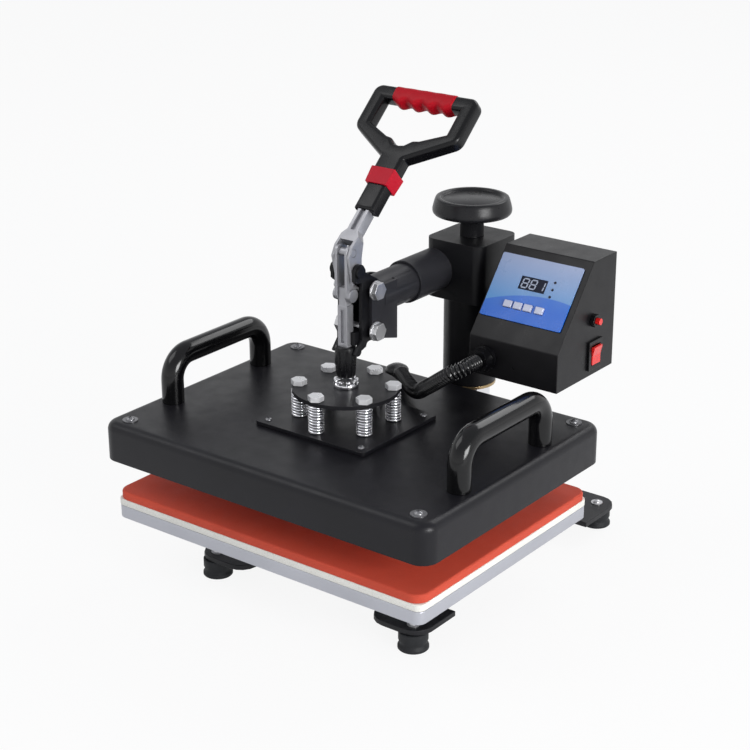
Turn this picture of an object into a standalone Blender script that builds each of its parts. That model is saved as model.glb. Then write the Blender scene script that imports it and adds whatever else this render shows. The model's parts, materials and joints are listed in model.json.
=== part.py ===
"""Swing-away heat press with a toggle lever, a sprung heat platen and a control box.

Lengths are metres. X runs across the platens, Y from front to back and Z up. The
pieces are laid out about the middle of the platens and the whole part is then
shifted so that its bounding box stands centred on the origin.
"""
import math

import bmesh
import bpy
from mathutils import Matrix, Vector

OBJECT_NAME = "heat_press"

# Shared clearances and fineness
GAP = 0.0003
OVERRUN = 0.004
ROUND_SIDES = 32
SMALL_SIDES = 16
HEX_SIDES = 6
CORNER_STEPS = 4
RIM_STEPS = 3
CURVE_STEPS = 16
WELD_DISTANCE = 0.00001

# Base frame and feet
FOOT_HEIGHT = 0.0187
FOOT_TOP_RADIUS = 0.0145
FOOT_BOTTOM_RADIUS = 0.0152
FOOT_WAIST_RADIUS = 0.0132
FOOT_SHOULDER_Z = 0.0094
FOOT_WAIST_Z = 0.0062
FOOT_RIM_Z = 0.0031
FOOT_FRONT_Y = -0.088
FOOT_REAR_Y = 0.246
FRAME_CENTRE_X = 0.018
FOOT_INSET_X = 0.017
FRAME_THICKNESS = 0.0055
FRAME_ARM_INSET = 0.081
FRAME_ARM_WIDTH = 0.064
FRAME_FRONT_Y = -0.101
FRAME_REAR_Y = 0.264
FRAME_CORNER = 0.019
FRAME_WAIST = 0.038
FRAME_WAIST_FRONT_Y = -0.043
FRAME_WAIST_REAR_Y = 0.196
FRAME_WAIST_CORNER = 0.012
MID_CROSS_Y = 0.035
MID_CROSS_DEPTH = 0.060
REAR_CROSS_DEPTH = 0.090

# Lower platen stack
LOWER_WIDTH = 0.380
LOWER_DEPTH = 0.287
LOWER_PLATE_THICKNESS = 0.0136
LOWER_PLATE_CORNER = 0.009
BOARD_THICKNESS = 0.0070
BOARD_CORNER = 0.008
PAD_THICKNESS = 0.0085
PAD_CORNER = 0.014
PAD_EDGE = 0.0015
RISER_HEIGHT = 0.0367
RISER_WIDTH = 0.024
RISER_LENGTH = 0.150
RISER_WALL = 0.003
PLATEN_OPENING = 0.0330

# Column
COLUMN_X = 0.018
COLUMN_Y = 0.180
POST_RADIUS = 0.022
POST_FLANGE_RADIUS = 0.038
POST_FLANGE_HEIGHT = 0.008
POST_TOP_RISE = 0.119
POST_BORE_DEPTH = 0.080
BUSH_WALL = 0.0017
BUSH_BOTTOM_RISE = -0.0085
BUSH_FLANGE_HEIGHT = 0.0032
BUSH_TOP_RISE = 0.124
SLEEVE_RADIUS = 0.028
HEAD_BOTTOM_RISE = 0.0905
HEAD_TOP_RISE = 0.153
HEAD_SIZE = 0.070
HEAD_CORNER = 0.011
HEAD_WEB = 0.0187

# Pressure knob and screw
SCREW_RADIUS = 0.008
SCREW_CLEARANCE = 0.0004
SCREW_BOTTOM_RISE = 0.049
SCREW_COLLAR_RADIUS = 0.012
SCREW_COLLAR_HEIGHT = 0.0043
SCREW_NECK_RADIUS = 0.006
SCREW_NECK_INSET = 0.008
STEM_RADIUS = 0.0123
STEM_COLLAR_RADIUS = 0.0165
STEM_COLLAR_HEIGHT = 0.007
KNOB_RADIUS = 0.041
KNOB_BOTTOM_RISE = 0.176
KNOB_HEIGHT = 0.018
KNOB_RIM = 0.004
KNOB_DISH_RADIUS = 0.030
KNOB_DISH_DEPTH = 0.003
KNOB_EDGE = 0.003
KNOB_EDGE_HEIGHT = 0.006
KNOB_CROWN = 0.001

# Toggle axis, arm and its channel
AXIS_X = -0.004
AXIS_Y = -0.003
ARM_RADIUS = 0.0197
ARM_WALL = 0.0037
ARM_RISE = 0.1207
ARM_FRONT_Y = 0.036
ARM_SOCKET_END_Y = 0.150
BOSS_RADIUS = 0.0222
BOSS_FRONT_Y = 0.092
CHANNEL_HALF_WIDTH = 0.0187
CHANNEL_WALL = 0.0034
CHANNEL_FRONT_Y = 0.008
CHANNEL_REAR_Y = 0.061
CHANNEL_BOTTOM_RISE = 0.074
CHANNEL_TOP_RISE = 0.137
CHANNEL_CORNER = 0.007

# Bracket plates, guide and bolts
BRACKET_INNER = 0.0112
BRACKET_OUTER = 0.0150
BRACKET_REAR_Y = 0.033
BRACKET_FRONT_Y = -0.004
BRACKET_TONGUE_FRONT_Y = 0.0025
BRACKET_TONGUE_REAR_Y = 0.0115
BRACKET_TOP_RISE = 0.156
BRACKET_NOSE_RISE = 0.147
BRACKET_BOTTOM_RISE = 0.088
BRACKET_TONGUE_RISE = 0.072
BRACKET_ROUND = 0.004
GUIDE_BOTTOM_RISE = 0.082
GUIDE_HEIGHT = 0.0135
GUIDE_FRONT_Y = -0.003
GUIDE_REAR_Y = 0.012
BOLT_Y = 0.020
BOLT_LOWER_RISE = 0.093
BOLT_UPPER_RISE = 0.135
BOLT_RADIUS = 0.0045
BOLT_HEAD_RADIUS = 0.0092
BOLT_HEAD_HEIGHT = 0.006
BOLT_WASHER_RADIUS = 0.0098
BOLT_WASHER_HEIGHT = 0.0015

# Toggle: fulcrum, crank, links and push rod
FULCRUM_Y = 0.001
FULCRUM_RISE = 0.157
FULCRUM_RADIUS = 0.0045
FULCRUM_EYE = 0.0078
FULCRUM_EYE_ROUND = 0.0070
FULCRUM_HEAD = 0.0065
FULCRUM_HEAD_HEIGHT = 0.0022
CRANK_PIN_RISE = 0.1765
CRANK_PIN_RADIUS = 0.004
LINK_INNER = 0.0047
LINK_OUTER = 0.0076
LINK_EYE = 0.0068
LINK_FOOT_RISE = 0.1335
LINK_HEAD_RADIUS = 0.0066
LINK_HEAD_HEIGHT = 0.003
CHEEK_INNER = 0.0080
CHEEK_OUTER = 0.0108
CHEEK_FRONT_Y = -0.0105
CHEEK_REAR_Y = 0.0095
CHEEK_BOTTOM_RISE = 0.145
CHEEK_TOP_RISE = 0.1805
CHEEK_CORNER = 0.005
CHEEK_CUT = 0.0075
ROD_HALF_WIDTH = 0.0058
ROD_DEPTH = 0.0098
ROD_BOTTOM_RISE = 0.075
ROD_SHOULDER_RISE = 0.1225
ROD_TONGUE = 0.0044
ROD_TOP_RISE = 0.141
ROD_GROOVE_WIDTH = 0.0045
ROD_GROOVE_DEPTH = 0.0025
SOCKET_RADIUS = 0.0110
SOCKET_BOTTOM_RISE = 0.0487
SOCKET_TOP_RISE = 0.0805
SOCKET_POCKET = 0.006
NUT_RADIUS = 0.0128
NUT_HEIGHT = 0.0105

# Lever and D handle, along the lever from the crank pin
LEVER_LEAN = math.radians(47.5)
LEVER_FOOT_START = 0.010
LEVER_FOOT_END = 0.022
LEVER_END = 0.0457
LEVER_HALF_WIDTH = 0.0064
LEVER_DEPTH = 0.012
LEVER_GROOVE_WIDTH = 0.0060
LEVER_GROOVE_DEPTH = 0.0035
LEVER_CORE = 0.0042
LEVER_CORE_END = 0.107
NECK_HALF_WIDTH = 0.0118
NECK_START = 0.046
WAIST_HALF_WIDTH = 0.0080
COLLAR_START = 0.074
COLLAR_END = 0.093
COLLAR_LOWER_HALF_WIDTH = 0.0128
COLLAR_UPPER_HALF_WIDTH = 0.0145
COLLAR_DEPTH = 0.0205
THROAT_HALF_WIDTH = 0.0145
THROAT_END = 0.108
HANDLE_DEPTH = 0.0165
HANDLE_EDGE = 0.004
HANDLE_HALF_WIDTH = 0.0625
HANDLE_HIP = 0.1365
HANDLE_TOP = 0.188
HANDLE_ARM_END_X = 0.0368
HOLE_HALF_WIDTH = 0.0460
HOLE_TOP = 0.1715
HOLE_SIDE_END = 0.1445
HOLE_BUMP_X = 0.0185
HOLE_BUMP = 0.131
HOLE_NOTCH = 0.1226
OUTER_CORNER = 0.008
INNER_CORNER = 0.005
HANDLE_BAR_RADIUS = 0.0055
GRIP_BOTTOM = 0.169
GRIP_TOP = 0.1888
GRIP_DEPTH = 0.0195
GRIP_EDGE = 0.006
SCALLOP_COUNT = 4
SCALLOP_RADIUS = 0.0085
SCALLOP_BITE = 0.0036

# Spring unit
SPRING_PLATE_RADIUS = 0.0535
SPRING_PLATE_THICKNESS = 0.004
SPRING_PLATE_LIFT = 0.0336
SPRING_CIRCLE = 0.047
SPRING_COUNT = 6
SPRING_RADIUS = 0.0080
SPRING_WIRE = 0.0011
SPRING_TURNS = 8
SPRING_POINTS_PER_TURN = 8
STUD_RADIUS = 0.004
STUD_HOLE_RADIUS = 0.0046
STUD_HEAD_RADIUS = 0.0082
STUD_HEAD_HEIGHT = 0.0052
MOUNT_PLATE_WIDTH = 0.136
MOUNT_PLATE_DEPTH = 0.121
MOUNT_PLATE_THICKNESS = 0.004
MOUNT_PLATE_CORNER = 0.004

# Heat platen and its cover
COVER_WIDTH = 0.402
COVER_DEPTH = 0.299
COVER_HEIGHT = 0.0400
COVER_CORNER = 0.017
COVER_EDGE = 0.009
COVER_WALL = 0.0018
PLATEN_SETBACK = 0.0045
PLATEN_DROP = 0.0015
PLATEN_THICKNESS = 0.015
PLATEN_CORNER = 0.018
PLATEN_BOSS_INSET_X = 0.025
PLATEN_BOSS_INSET_Y = 0.021
PLATEN_BOSS_RADIUS = 0.007
CARRY_INSET = 0.023
CARRY_SPREAD_Y = 0.068
CARRY_HEIGHT = 0.0475
CARRY_BEND = 0.024
CARRY_RADIUS = 0.0115
GLAND_X = -0.033
GLAND_Y = 0.120
GLAND_RADIUS = 0.0125
GLAND_HEIGHT = 0.0165
GLAND_DOME = 0.006
GLAND_CROWN_RADIUS = 0.0069
GLAND_CROWN_DROP = 0.0009
GLAND_SHOULDER_RADIUS = 0.0110
GLAND_SHOULDER_DROP = 0.0033
NOZZLE_RADIUS = 0.0072
NOZZLE_REACH = 0.017
NOZZLE_LIFT = 0.0095

# Control box
BOX_LEFT_X = 0.079
BOX_RIGHT_X = 0.181
BOX_BACK_Y = 0.195
BOX_TOP_FRONT_Y = 0.152
BOX_FRONT_Y = 0.090
BOX_BOTTOM_RISE = 0.044
BOX_TOP_RISE = 0.162
BOX_BEND_RISE = 0.0836
BOX_WALL = 0.0018
PANEL_LEFT_X = 0.0810
PANEL_RIGHT_X = 0.1745
PANEL_START = 0.0095
PANEL_END = 0.0775
PANEL_THICKNESS = 0.0012
PANEL_CORNER = 0.002
WINDOW_LEFT_X = 0.1113
WINDOW_RIGHT_X = 0.1417
WINDOW_START = 0.0295
WINDOW_END = 0.0435
WINDOW_RECESS = 0.0007
KEY_X = (0.1084, 0.1198, 0.1313, 0.1446)
KEY_DISTANCE = 0.0613
KEY_WIDTH = 0.0092
KEY_LENGTH = 0.0072
KEY_STANDOUT = 0.0020
KEY_DEPTH = 0.0040
BEZEL_Y = 0.1580
BEZEL_RISE = 0.0655
BEZEL_WIDTH = 0.025
BEZEL_LENGTH = 0.030
BEZEL_STANDOUT = 0.0022
BEZEL_RIM = 0.0026
BEZEL_DEPTH = 0.014
BEZEL_WALL = 0.0020
ROCKER_FACE = 0.0044
ROCKER_SAG = 0.0012
ROCKER_TILT = math.radians(7)
RESET_Y = 0.1535
RESET_RISE = 0.102
RESET_NUT_RADIUS = 0.0068
RESET_NUT_HEIGHT = 0.0045
RESET_BARREL_RADIUS = 0.0050
RESET_BARREL_LENGTH = 0.014
RESET_BUTTON_RADIUS = 0.0034
RESET_BUTTON_STANDOUT = 0.0045
RESET_BUTTON_DEPTH = 0.008
RESET_TRAVEL = 0.0022
COLLAR_X = 0.098
COLLAR_RISE = 0.063
CONNECTOR_FLANGE_RADIUS = 0.0135
CONNECTOR_FLANGE = 0.004
CONNECTOR_RADIUS = 0.0115
CONNECTOR_LENGTH = 0.014
INLET_X = 0.120
INLET_RISE = 0.07
INLET_WIDTH = 0.032
INLET_HEIGHT = 0.026
INLET_FLANGE = 0.0025
INLET_SOCKET_WIDTH = 0.0245
INLET_SOCKET_HEIGHT = 0.0170
INLET_DEPTH = 0.020
INLET_WALL = 0.0020
BOARD_LENGTH = 0.070
BOARD_DEPTH = 0.060
CIRCUIT_THICKNESS = 0.0016
CIRCUIT_PILLAR_RADIUS = 0.0035
CIRCUIT_PILLAR_HEIGHT = 0.006
CIRCUIT_PILLAR_INSET = 0.006
TRANSFORMER_SIZE = 0.030
TRANSFORMER_HEIGHT = 0.024
BOX_ARM_DEPTH = 0.026
BOX_ARM_HEIGHT = 0.030

# Hose from the control box to the gland: route points in order,
# their heights above the cover, and its ribs
HOSE_ROUTE = (
    (0.0955, 0.0530, 0.0610),
    (0.0870, 0.0475, 0.0565),
    (0.0730, 0.0500, 0.0465),
    (0.0600, 0.0545, 0.0370),
    (0.0470, 0.0590, 0.0280),
    (0.0330, 0.0675, 0.0185),
    (0.0170, 0.0790, 0.0115),
)
HOSE_RIB_RADIUS = 0.0074
HOSE_VALLEY_RADIUS = 0.0062
HOSE_BORE_RADIUS = 0.0046
HOSE_RIB_PITCH = 0.0042

# Places worked out from the widths
FRAME_ARM_SPREAD_X = LOWER_WIDTH / 2 - FRAME_ARM_INSET
FOOT_SPREAD_X = FRAME_ARM_SPREAD_X + FRAME_ARM_WIDTH / 2 - FOOT_INSET_X
PLATEN_BOSS_X = COVER_WIDTH / 2 - PLATEN_BOSS_INSET_X
PLATEN_BOSS_Y = COVER_DEPTH / 2 - PLATEN_BOSS_INSET_Y
CARRY_X = COVER_WIDTH / 2 - CARRY_INSET

# Heights worked out from the stack
FRAME_BOTTOM_Z = FOOT_HEIGHT + GAP
FRAME_TOP_Z = FRAME_BOTTOM_Z + FRAME_THICKNESS
RISER_BOTTOM_Z = FRAME_TOP_Z + GAP
LOWER_PLATE_Z = RISER_BOTTOM_Z + RISER_HEIGHT + GAP
BOARD_Z = LOWER_PLATE_Z + LOWER_PLATE_THICKNESS + GAP
PAD_Z = BOARD_Z + BOARD_THICKNESS + GAP
PAD_TOP_Z = PAD_Z + PAD_THICKNESS
PLATEN_Z = PAD_TOP_Z + PLATEN_OPENING
COVER_Z = PLATEN_Z + PLATEN_DROP
COVER_TOP_Z = COVER_Z + COVER_HEIGHT
MOUNT_PLATE_Z = COVER_TOP_Z + GAP
MOUNT_PLATE_TOP_Z = MOUNT_PLATE_Z + MOUNT_PLATE_THICKNESS
SPRING_PLATE_Z = COVER_TOP_Z + SPRING_PLATE_LIFT
SPRING_PLATE_TOP_Z = SPRING_PLATE_Z + SPRING_PLATE_THICKNESS
POST_TOP_Z = COVER_TOP_Z + POST_TOP_RISE
BUSH_BOTTOM_Z = COVER_TOP_Z + BUSH_BOTTOM_RISE
BUSH_TOP_Z = COVER_TOP_Z + BUSH_TOP_RISE
HEAD_BOTTOM_Z = COVER_TOP_Z + HEAD_BOTTOM_RISE
HEAD_TOP_Z = COVER_TOP_Z + HEAD_TOP_RISE
SCREW_BOTTOM_Z = COVER_TOP_Z + SCREW_BOTTOM_RISE
KNOB_BOTTOM_Z = COVER_TOP_Z + KNOB_BOTTOM_RISE
KNOB_TOP_Z = KNOB_BOTTOM_Z + KNOB_HEIGHT
SCREW_NECK_TOP_Z = KNOB_TOP_Z - SCREW_NECK_INSET
ARM_Z = COVER_TOP_Z + ARM_RISE
CHANNEL_BOTTOM_Z = COVER_TOP_Z + CHANNEL_BOTTOM_RISE
CHANNEL_TOP_Z = COVER_TOP_Z + CHANNEL_TOP_RISE
BRACKET_TOP_Z = COVER_TOP_Z + BRACKET_TOP_RISE
BRACKET_NOSE_Z = COVER_TOP_Z + BRACKET_NOSE_RISE
BRACKET_BOTTOM_Z = COVER_TOP_Z + BRACKET_BOTTOM_RISE
BRACKET_TONGUE_Z = COVER_TOP_Z + BRACKET_TONGUE_RISE
GUIDE_BOTTOM_Z = COVER_TOP_Z + GUIDE_BOTTOM_RISE
FULCRUM_Z = COVER_TOP_Z + FULCRUM_RISE
CRANK_PIN_Z = COVER_TOP_Z + CRANK_PIN_RISE
LINK_FOOT_Z = COVER_TOP_Z + LINK_FOOT_RISE
CHEEK_BOTTOM_Z = COVER_TOP_Z + CHEEK_BOTTOM_RISE
CHEEK_TOP_Z = COVER_TOP_Z + CHEEK_TOP_RISE
ROD_BOTTOM_Z = COVER_TOP_Z + ROD_BOTTOM_RISE
ROD_SHOULDER_Z = COVER_TOP_Z + ROD_SHOULDER_RISE
ROD_TOP_Z = COVER_TOP_Z + ROD_TOP_RISE
SOCKET_BOTTOM_Z = COVER_TOP_Z + SOCKET_BOTTOM_RISE
SOCKET_TOP_Z = COVER_TOP_Z + SOCKET_TOP_RISE
BOX_BOTTOM_Z = COVER_TOP_Z + BOX_BOTTOM_RISE
BOX_TOP_Z = COVER_TOP_Z + BOX_TOP_RISE
BOX_BEND_Z = COVER_TOP_Z + BOX_BEND_RISE
BEZEL_Z = COVER_TOP_Z + BEZEL_RISE
RESET_Z = COVER_TOP_Z + RESET_RISE
COLLAR_Z = COVER_TOP_Z + COLLAR_RISE
INLET_Z = COVER_TOP_Z + INLET_RISE
BOLT_Z = (COVER_TOP_Z + BOLT_LOWER_RISE, COVER_TOP_Z + BOLT_UPPER_RISE)

# Shift that centres the bounding box on the origin
PART_CENTRE_Y = (FRAME_REAR_Y - COVER_DEPTH / 2) / 2


def clear_scene():
    """Remove every object of the open scene."""
    for item in list(bpy.data.objects):
        bpy.data.objects.remove(item, do_unlink=True)


def new_collection(name):
    """Make a collection under the scene's own."""
    collection = bpy.data.collections.new(name)
    bpy.context.scene.collection.children.link(collection)
    return collection


clear_scene()
PARTS = new_collection(OBJECT_NAME)
CUTTERS = new_collection("cutters")


def finish(name, colour, roughness, metallic=0.0):
    """Make a Principled material."""
    material = bpy.data.materials.new(name)
    material.use_nodes = True
    shader = material.node_tree.nodes["Principled BSDF"]
    shader.inputs["Base Color"].default_value = (*colour, 1.0)
    shader.inputs["Roughness"].default_value = roughness
    shader.inputs["Metallic"].default_value = metallic
    return material


BLACK = (0.018, 0.018, 0.020)
CHARCOAL = (0.032, 0.032, 0.035)
SILVER = (0.72, 0.72, 0.74)
CHROME = (0.86, 0.86, 0.88)
RED = (0.55, 0.010, 0.018)


def pivot(name, place, parent=None, tilt=0.0):
    """Add an empty at a place of the layout, turned about X by tilt."""
    empty = bpy.data.objects.new(name, None)
    PARTS.objects.link(empty)
    empty.parent = parent
    seat = Vector(place)
    if parent is not None:
        seat -= layout_place(parent)
    empty.location = seat
    empty.rotation_euler = (tilt, 0.0, 0.0)
    return empty


def layout_place(item):
    """Return the layout position of an empty from its chain of parents."""
    place = Vector(item.location)
    while item.parent is not None:
        item = item.parent
        place += item.location
    return place


def link_mesh(name, mesh_data):
    """Wrap a bmesh as an object of the parts collection."""
    mesh = bpy.data.meshes.new(name)
    mesh_data.to_mesh(mesh)
    mesh_data.free()
    item = bpy.data.objects.new(name, mesh)
    PARTS.objects.link(item)
    return item


def block(name, low, high, corner=0.0, rim=0.0, foot=0.0):
    """Make a box between two corners with rounded upright edges and rims."""
    size = Vector(high) - Vector(low)
    middle = (Vector(high) + Vector(low)) / 2
    shape = bmesh.new()
    bmesh.ops.create_cube(shape, size=1.0)
    bmesh.ops.scale(shape, vec=size, verts=shape.verts)
    if corner > 0:
        upright = [edge for edge in shape.edges if is_upright(edge)]
        round_edges(shape, upright, corner, CORNER_STEPS)
    if rim > 0:
        top = [edge for edge in shape.edges if lies_at(edge, size.z / 2)]
        round_edges(shape, top, rim, RIM_STEPS)
    if foot > 0:
        bottom = [edge for edge in shape.edges if lies_at(edge, -size.z / 2)]
        round_edges(shape, bottom, foot, RIM_STEPS)
    bmesh.ops.translate(shape, vec=middle, verts=shape.verts)
    return link_mesh(name, shape)


def is_upright(edge):
    """Tell whether an edge runs along Z."""
    run = edge.verts[1].co - edge.verts[0].co
    return abs(run.x) + abs(run.y) < abs(run.z) / 100


def lies_at(edge, height):
    """Tell whether both ends of an edge lie at a height."""
    return all(abs(vert.co.z - height) <= abs(height) / 1000 for vert in edge.verts)


def round_edges(shape, edges, radius, steps):
    """Round the given edges of a bmesh."""
    bmesh.ops.bevel(shape, geom=edges, offset=radius, offset_type="OFFSET",
                    segments=steps, profile=0.5, affect="EDGES", clamp_overlap=True)


AXIS_TURNS = {
    "X": Matrix.Rotation(math.pi / 2, 4, "Y"),
    "Y": Matrix.Rotation(-math.pi / 2, 4, "X"),
    "Z": Matrix.Identity(4),
}


def rod(name, start, length, radius, axis="Z", sides=ROUND_SIDES, top_radius=None):
    """Make a cylinder or cone that runs from start along an axis."""
    shape = bmesh.new()
    end_radius = radius if top_radius is None else top_radius
    bmesh.ops.create_cone(shape, cap_ends=True, segments=sides, radius1=radius,
                          radius2=end_radius, depth=length)
    bmesh.ops.translate(shape, vec=(0.0, 0.0, length / 2), verts=shape.verts)
    bmesh.ops.transform(shape, matrix=AXIS_TURNS[axis], verts=shape.verts)
    bmesh.ops.translate(shape, vec=start, verts=shape.verts)
    return link_mesh(name, shape)


def turned(name, profile, centre, sides=ROUND_SIDES):
    """Turn a profile of (radius, height) points, given from top to bottom."""
    mesh = bpy.data.meshes.new(name)
    points = [(radius, 0.0, height) for radius, height in profile]
    edges = [(index, index + 1) for index in range(len(points) - 1)]
    mesh.from_pydata(points, edges, [])
    item = bpy.data.objects.new(name, mesh)
    PARTS.objects.link(item)
    screw = item.modifiers.new("turn", "SCREW")
    screw.axis = "Z"
    screw.steps = sides
    screw.render_steps = sides
    screw.use_merge_vertices = True
    screw.merge_threshold = WELD_DISTANCE
    item.location = centre
    return item


def rounded(corners, steps=CORNER_STEPS):
    """Replace each (x, y, radius) corner of an outline by an arc."""
    points = []
    for index, (x, y, radius) in enumerate(corners):
        here = Vector((x, y))
        if radius <= 0:
            points.append(here)
            continue
        before = Vector(corners[index - 1][:2])
        after = Vector(corners[(index + 1) % len(corners)][:2])
        inward = (before - here).normalized()
        outward = (after - here).normalized()
        half = inward.angle(outward) / 2
        reach = radius / math.tan(half)
        centre = here + (inward + outward).normalized() * radius / math.sin(half)
        first = here + inward * reach - centre
        last = here + outward * reach - centre
        turn = first.angle_signed(last)
        for step in range(steps + 1):
            arm = first.copy()
            arm.rotate(Matrix.Rotation(-turn * step / steps, 2))
            points.append(centre + arm)
    return points


def plate(name, outline, thickness, edge=0.0):
    """Extrude a flat outline in its XY plane, centred on the plane."""
    curve = bpy.data.curves.new(name, "CURVE")
    curve.dimensions = "2D"
    curve.fill_mode = "BOTH"
    curve.extrude = thickness / 2 - edge
    curve.bevel_depth = edge
    curve.bevel_resolution = 2
    spline = curve.splines.new("POLY")
    spline.points.add(len(outline) - 1)
    for point, place in zip(spline.points, outline):
        point.co = (place[0], place[1], 0.0, 1.0)
    spline.use_cyclic_u = True
    return as_mesh(name, curve)


def as_mesh(name, curve):
    """Turn a curve into a welded mesh object."""
    source = bpy.data.objects.new(name + "_curve", curve)
    PARTS.objects.link(source)
    bpy.context.view_layer.update()
    graph = bpy.context.evaluated_depsgraph_get()
    mesh = bpy.data.meshes.new_from_object(source.evaluated_get(graph))
    shape = bmesh.new()
    shape.from_mesh(mesh)
    bmesh.ops.remove_doubles(shape, verts=shape.verts, dist=WELD_DISTANCE)
    bmesh.ops.recalc_face_normals(shape, faces=shape.faces)
    shape.to_mesh(mesh)
    shape.free()
    item = bpy.data.objects.new(name, mesh)
    item.matrix_world = source.matrix_world
    PARTS.objects.link(item)
    bpy.data.objects.remove(source, do_unlink=True)
    return item


def side_plate(name, outline, low_x, high_x):
    """Extrude a (y, z) outline between two X places."""
    item = plate(name, outline, high_x - low_x)
    turn = Matrix(((0, 0, 1, (low_x + high_x) / 2), (1, 0, 0, 0), (0, 1, 0, 0), (0, 0, 0, 1)))
    item.data.transform(turn)
    return item


def tube(name, points, radius, resolution=2, radii=None):
    """Run a round tube with closed ends through the given points."""
    curve = bpy.data.curves.new(name, "CURVE")
    curve.dimensions = "3D"
    curve.bevel_depth = radius
    curve.bevel_resolution = resolution
    curve.use_fill_caps = True
    spline = curve.splines.new("POLY")
    spline.points.add(len(points) - 1)
    for index, (point, place) in enumerate(zip(spline.points, points)):
        point.co = (*place, 1.0)
        point.radius = 1.0 if radii is None else radii[index] / radius
    return as_mesh(name, curve)


def combine(target, tool, operation):
    """Add a Boolean with a tool that moves to the cutters collection."""
    PARTS.objects.unlink(tool)
    CUTTERS.objects.link(tool)
    tool.hide_render = True
    tool.display_type = "WIRE"
    step = target.modifiers.new(tool.name, "BOOLEAN")
    step.operation = operation
    step.solver = "EXACT"
    step.object = tool
    TOOLS.setdefault(target.name, []).append(tool)


TOOLS = {}


def join(target, *tools):
    """Unite pieces with a target."""
    for tool in tools:
        combine(target, tool, "UNION")


def cut(target, *tools):
    """Cut pieces from a target."""
    for tool in tools:
        combine(target, tool, "DIFFERENCE")


def settle(item, parent, material, smooth=0.0, local=False):
    """Parent a piece that was modelled in place and give it its material.

    A piece modelled in the parent's own frame is marked local.
    """
    shift = Vector() if local else layout_place(parent) - layout_place(BASE)
    for member in [item, *TOOLS.get(item.name, [])]:
        member.parent = parent
        member.location -= shift
    item.data.materials.clear()
    item.data.materials.append(material)
    if smooth > 0:
        item.data.shade_smooth()
        item.data.set_sharp_from_angle(angle=smooth)
    return item


SMOOTH = math.radians(35)
SHIFT = Vector((0.0, -PART_CENTRE_Y, 0.0))
BASE = pivot("base", SHIFT)


def body(name, place, parent, tilt=0.0):
    """Add the empty that carries a moving body, at a layout place."""
    return pivot(name, Vector(place) + SHIFT, parent, tilt)


LIFT = body("lift_body", (COLUMN_X, COLUMN_Y, BUSH_BOTTOM_Z), BASE)
HEAD = body("head_body", (COLUMN_X, COLUMN_Y, HEAD_BOTTOM_Z), LIFT)
KNOB = body("knob_body", (COLUMN_X, COLUMN_Y, KNOB_BOTTOM_Z), HEAD)
LEVER = body("lever_body", (AXIS_X, FULCRUM_Y, FULCRUM_Z), HEAD)
LINKS = body("links_body", (AXIS_X, AXIS_Y, CRANK_PIN_Z), LEVER)
ROD = body("rod_body", (AXIS_X, AXIS_Y, ROD_BOTTOM_Z), HEAD)
PLATEN = body("platen_body", (AXIS_X, AXIS_Y, MOUNT_PLATE_Z), ROD)
LEVER_LINE = body("lever_line", (AXIS_X, AXIS_Y, CRANK_PIN_Z), LEVER, -LEVER_LEAN)
SLOPE_DROP = BOX_TOP_Z - BOX_BEND_Z
SLOPE_RUN = BOX_TOP_FRONT_Y - BOX_FRONT_Y
SLOPE_TILT = math.atan2(SLOPE_DROP, SLOPE_RUN)
SLOPE = body("slope_line", (0.0, BOX_TOP_FRONT_Y, BOX_TOP_Z), HEAD, SLOPE_TILT)


def slope_point(x, distance, rise=0.0):
    """Return the layout place of a point on the sloping front of the box."""
    run = Vector((0.0, -math.cos(SLOPE_TILT), -math.sin(SLOPE_TILT)))
    out = Vector((0.0, -math.sin(SLOPE_TILT), math.cos(SLOPE_TILT)))
    return Vector((x, BOX_TOP_FRONT_Y, BOX_TOP_Z)) + run * distance + out * rise


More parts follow.
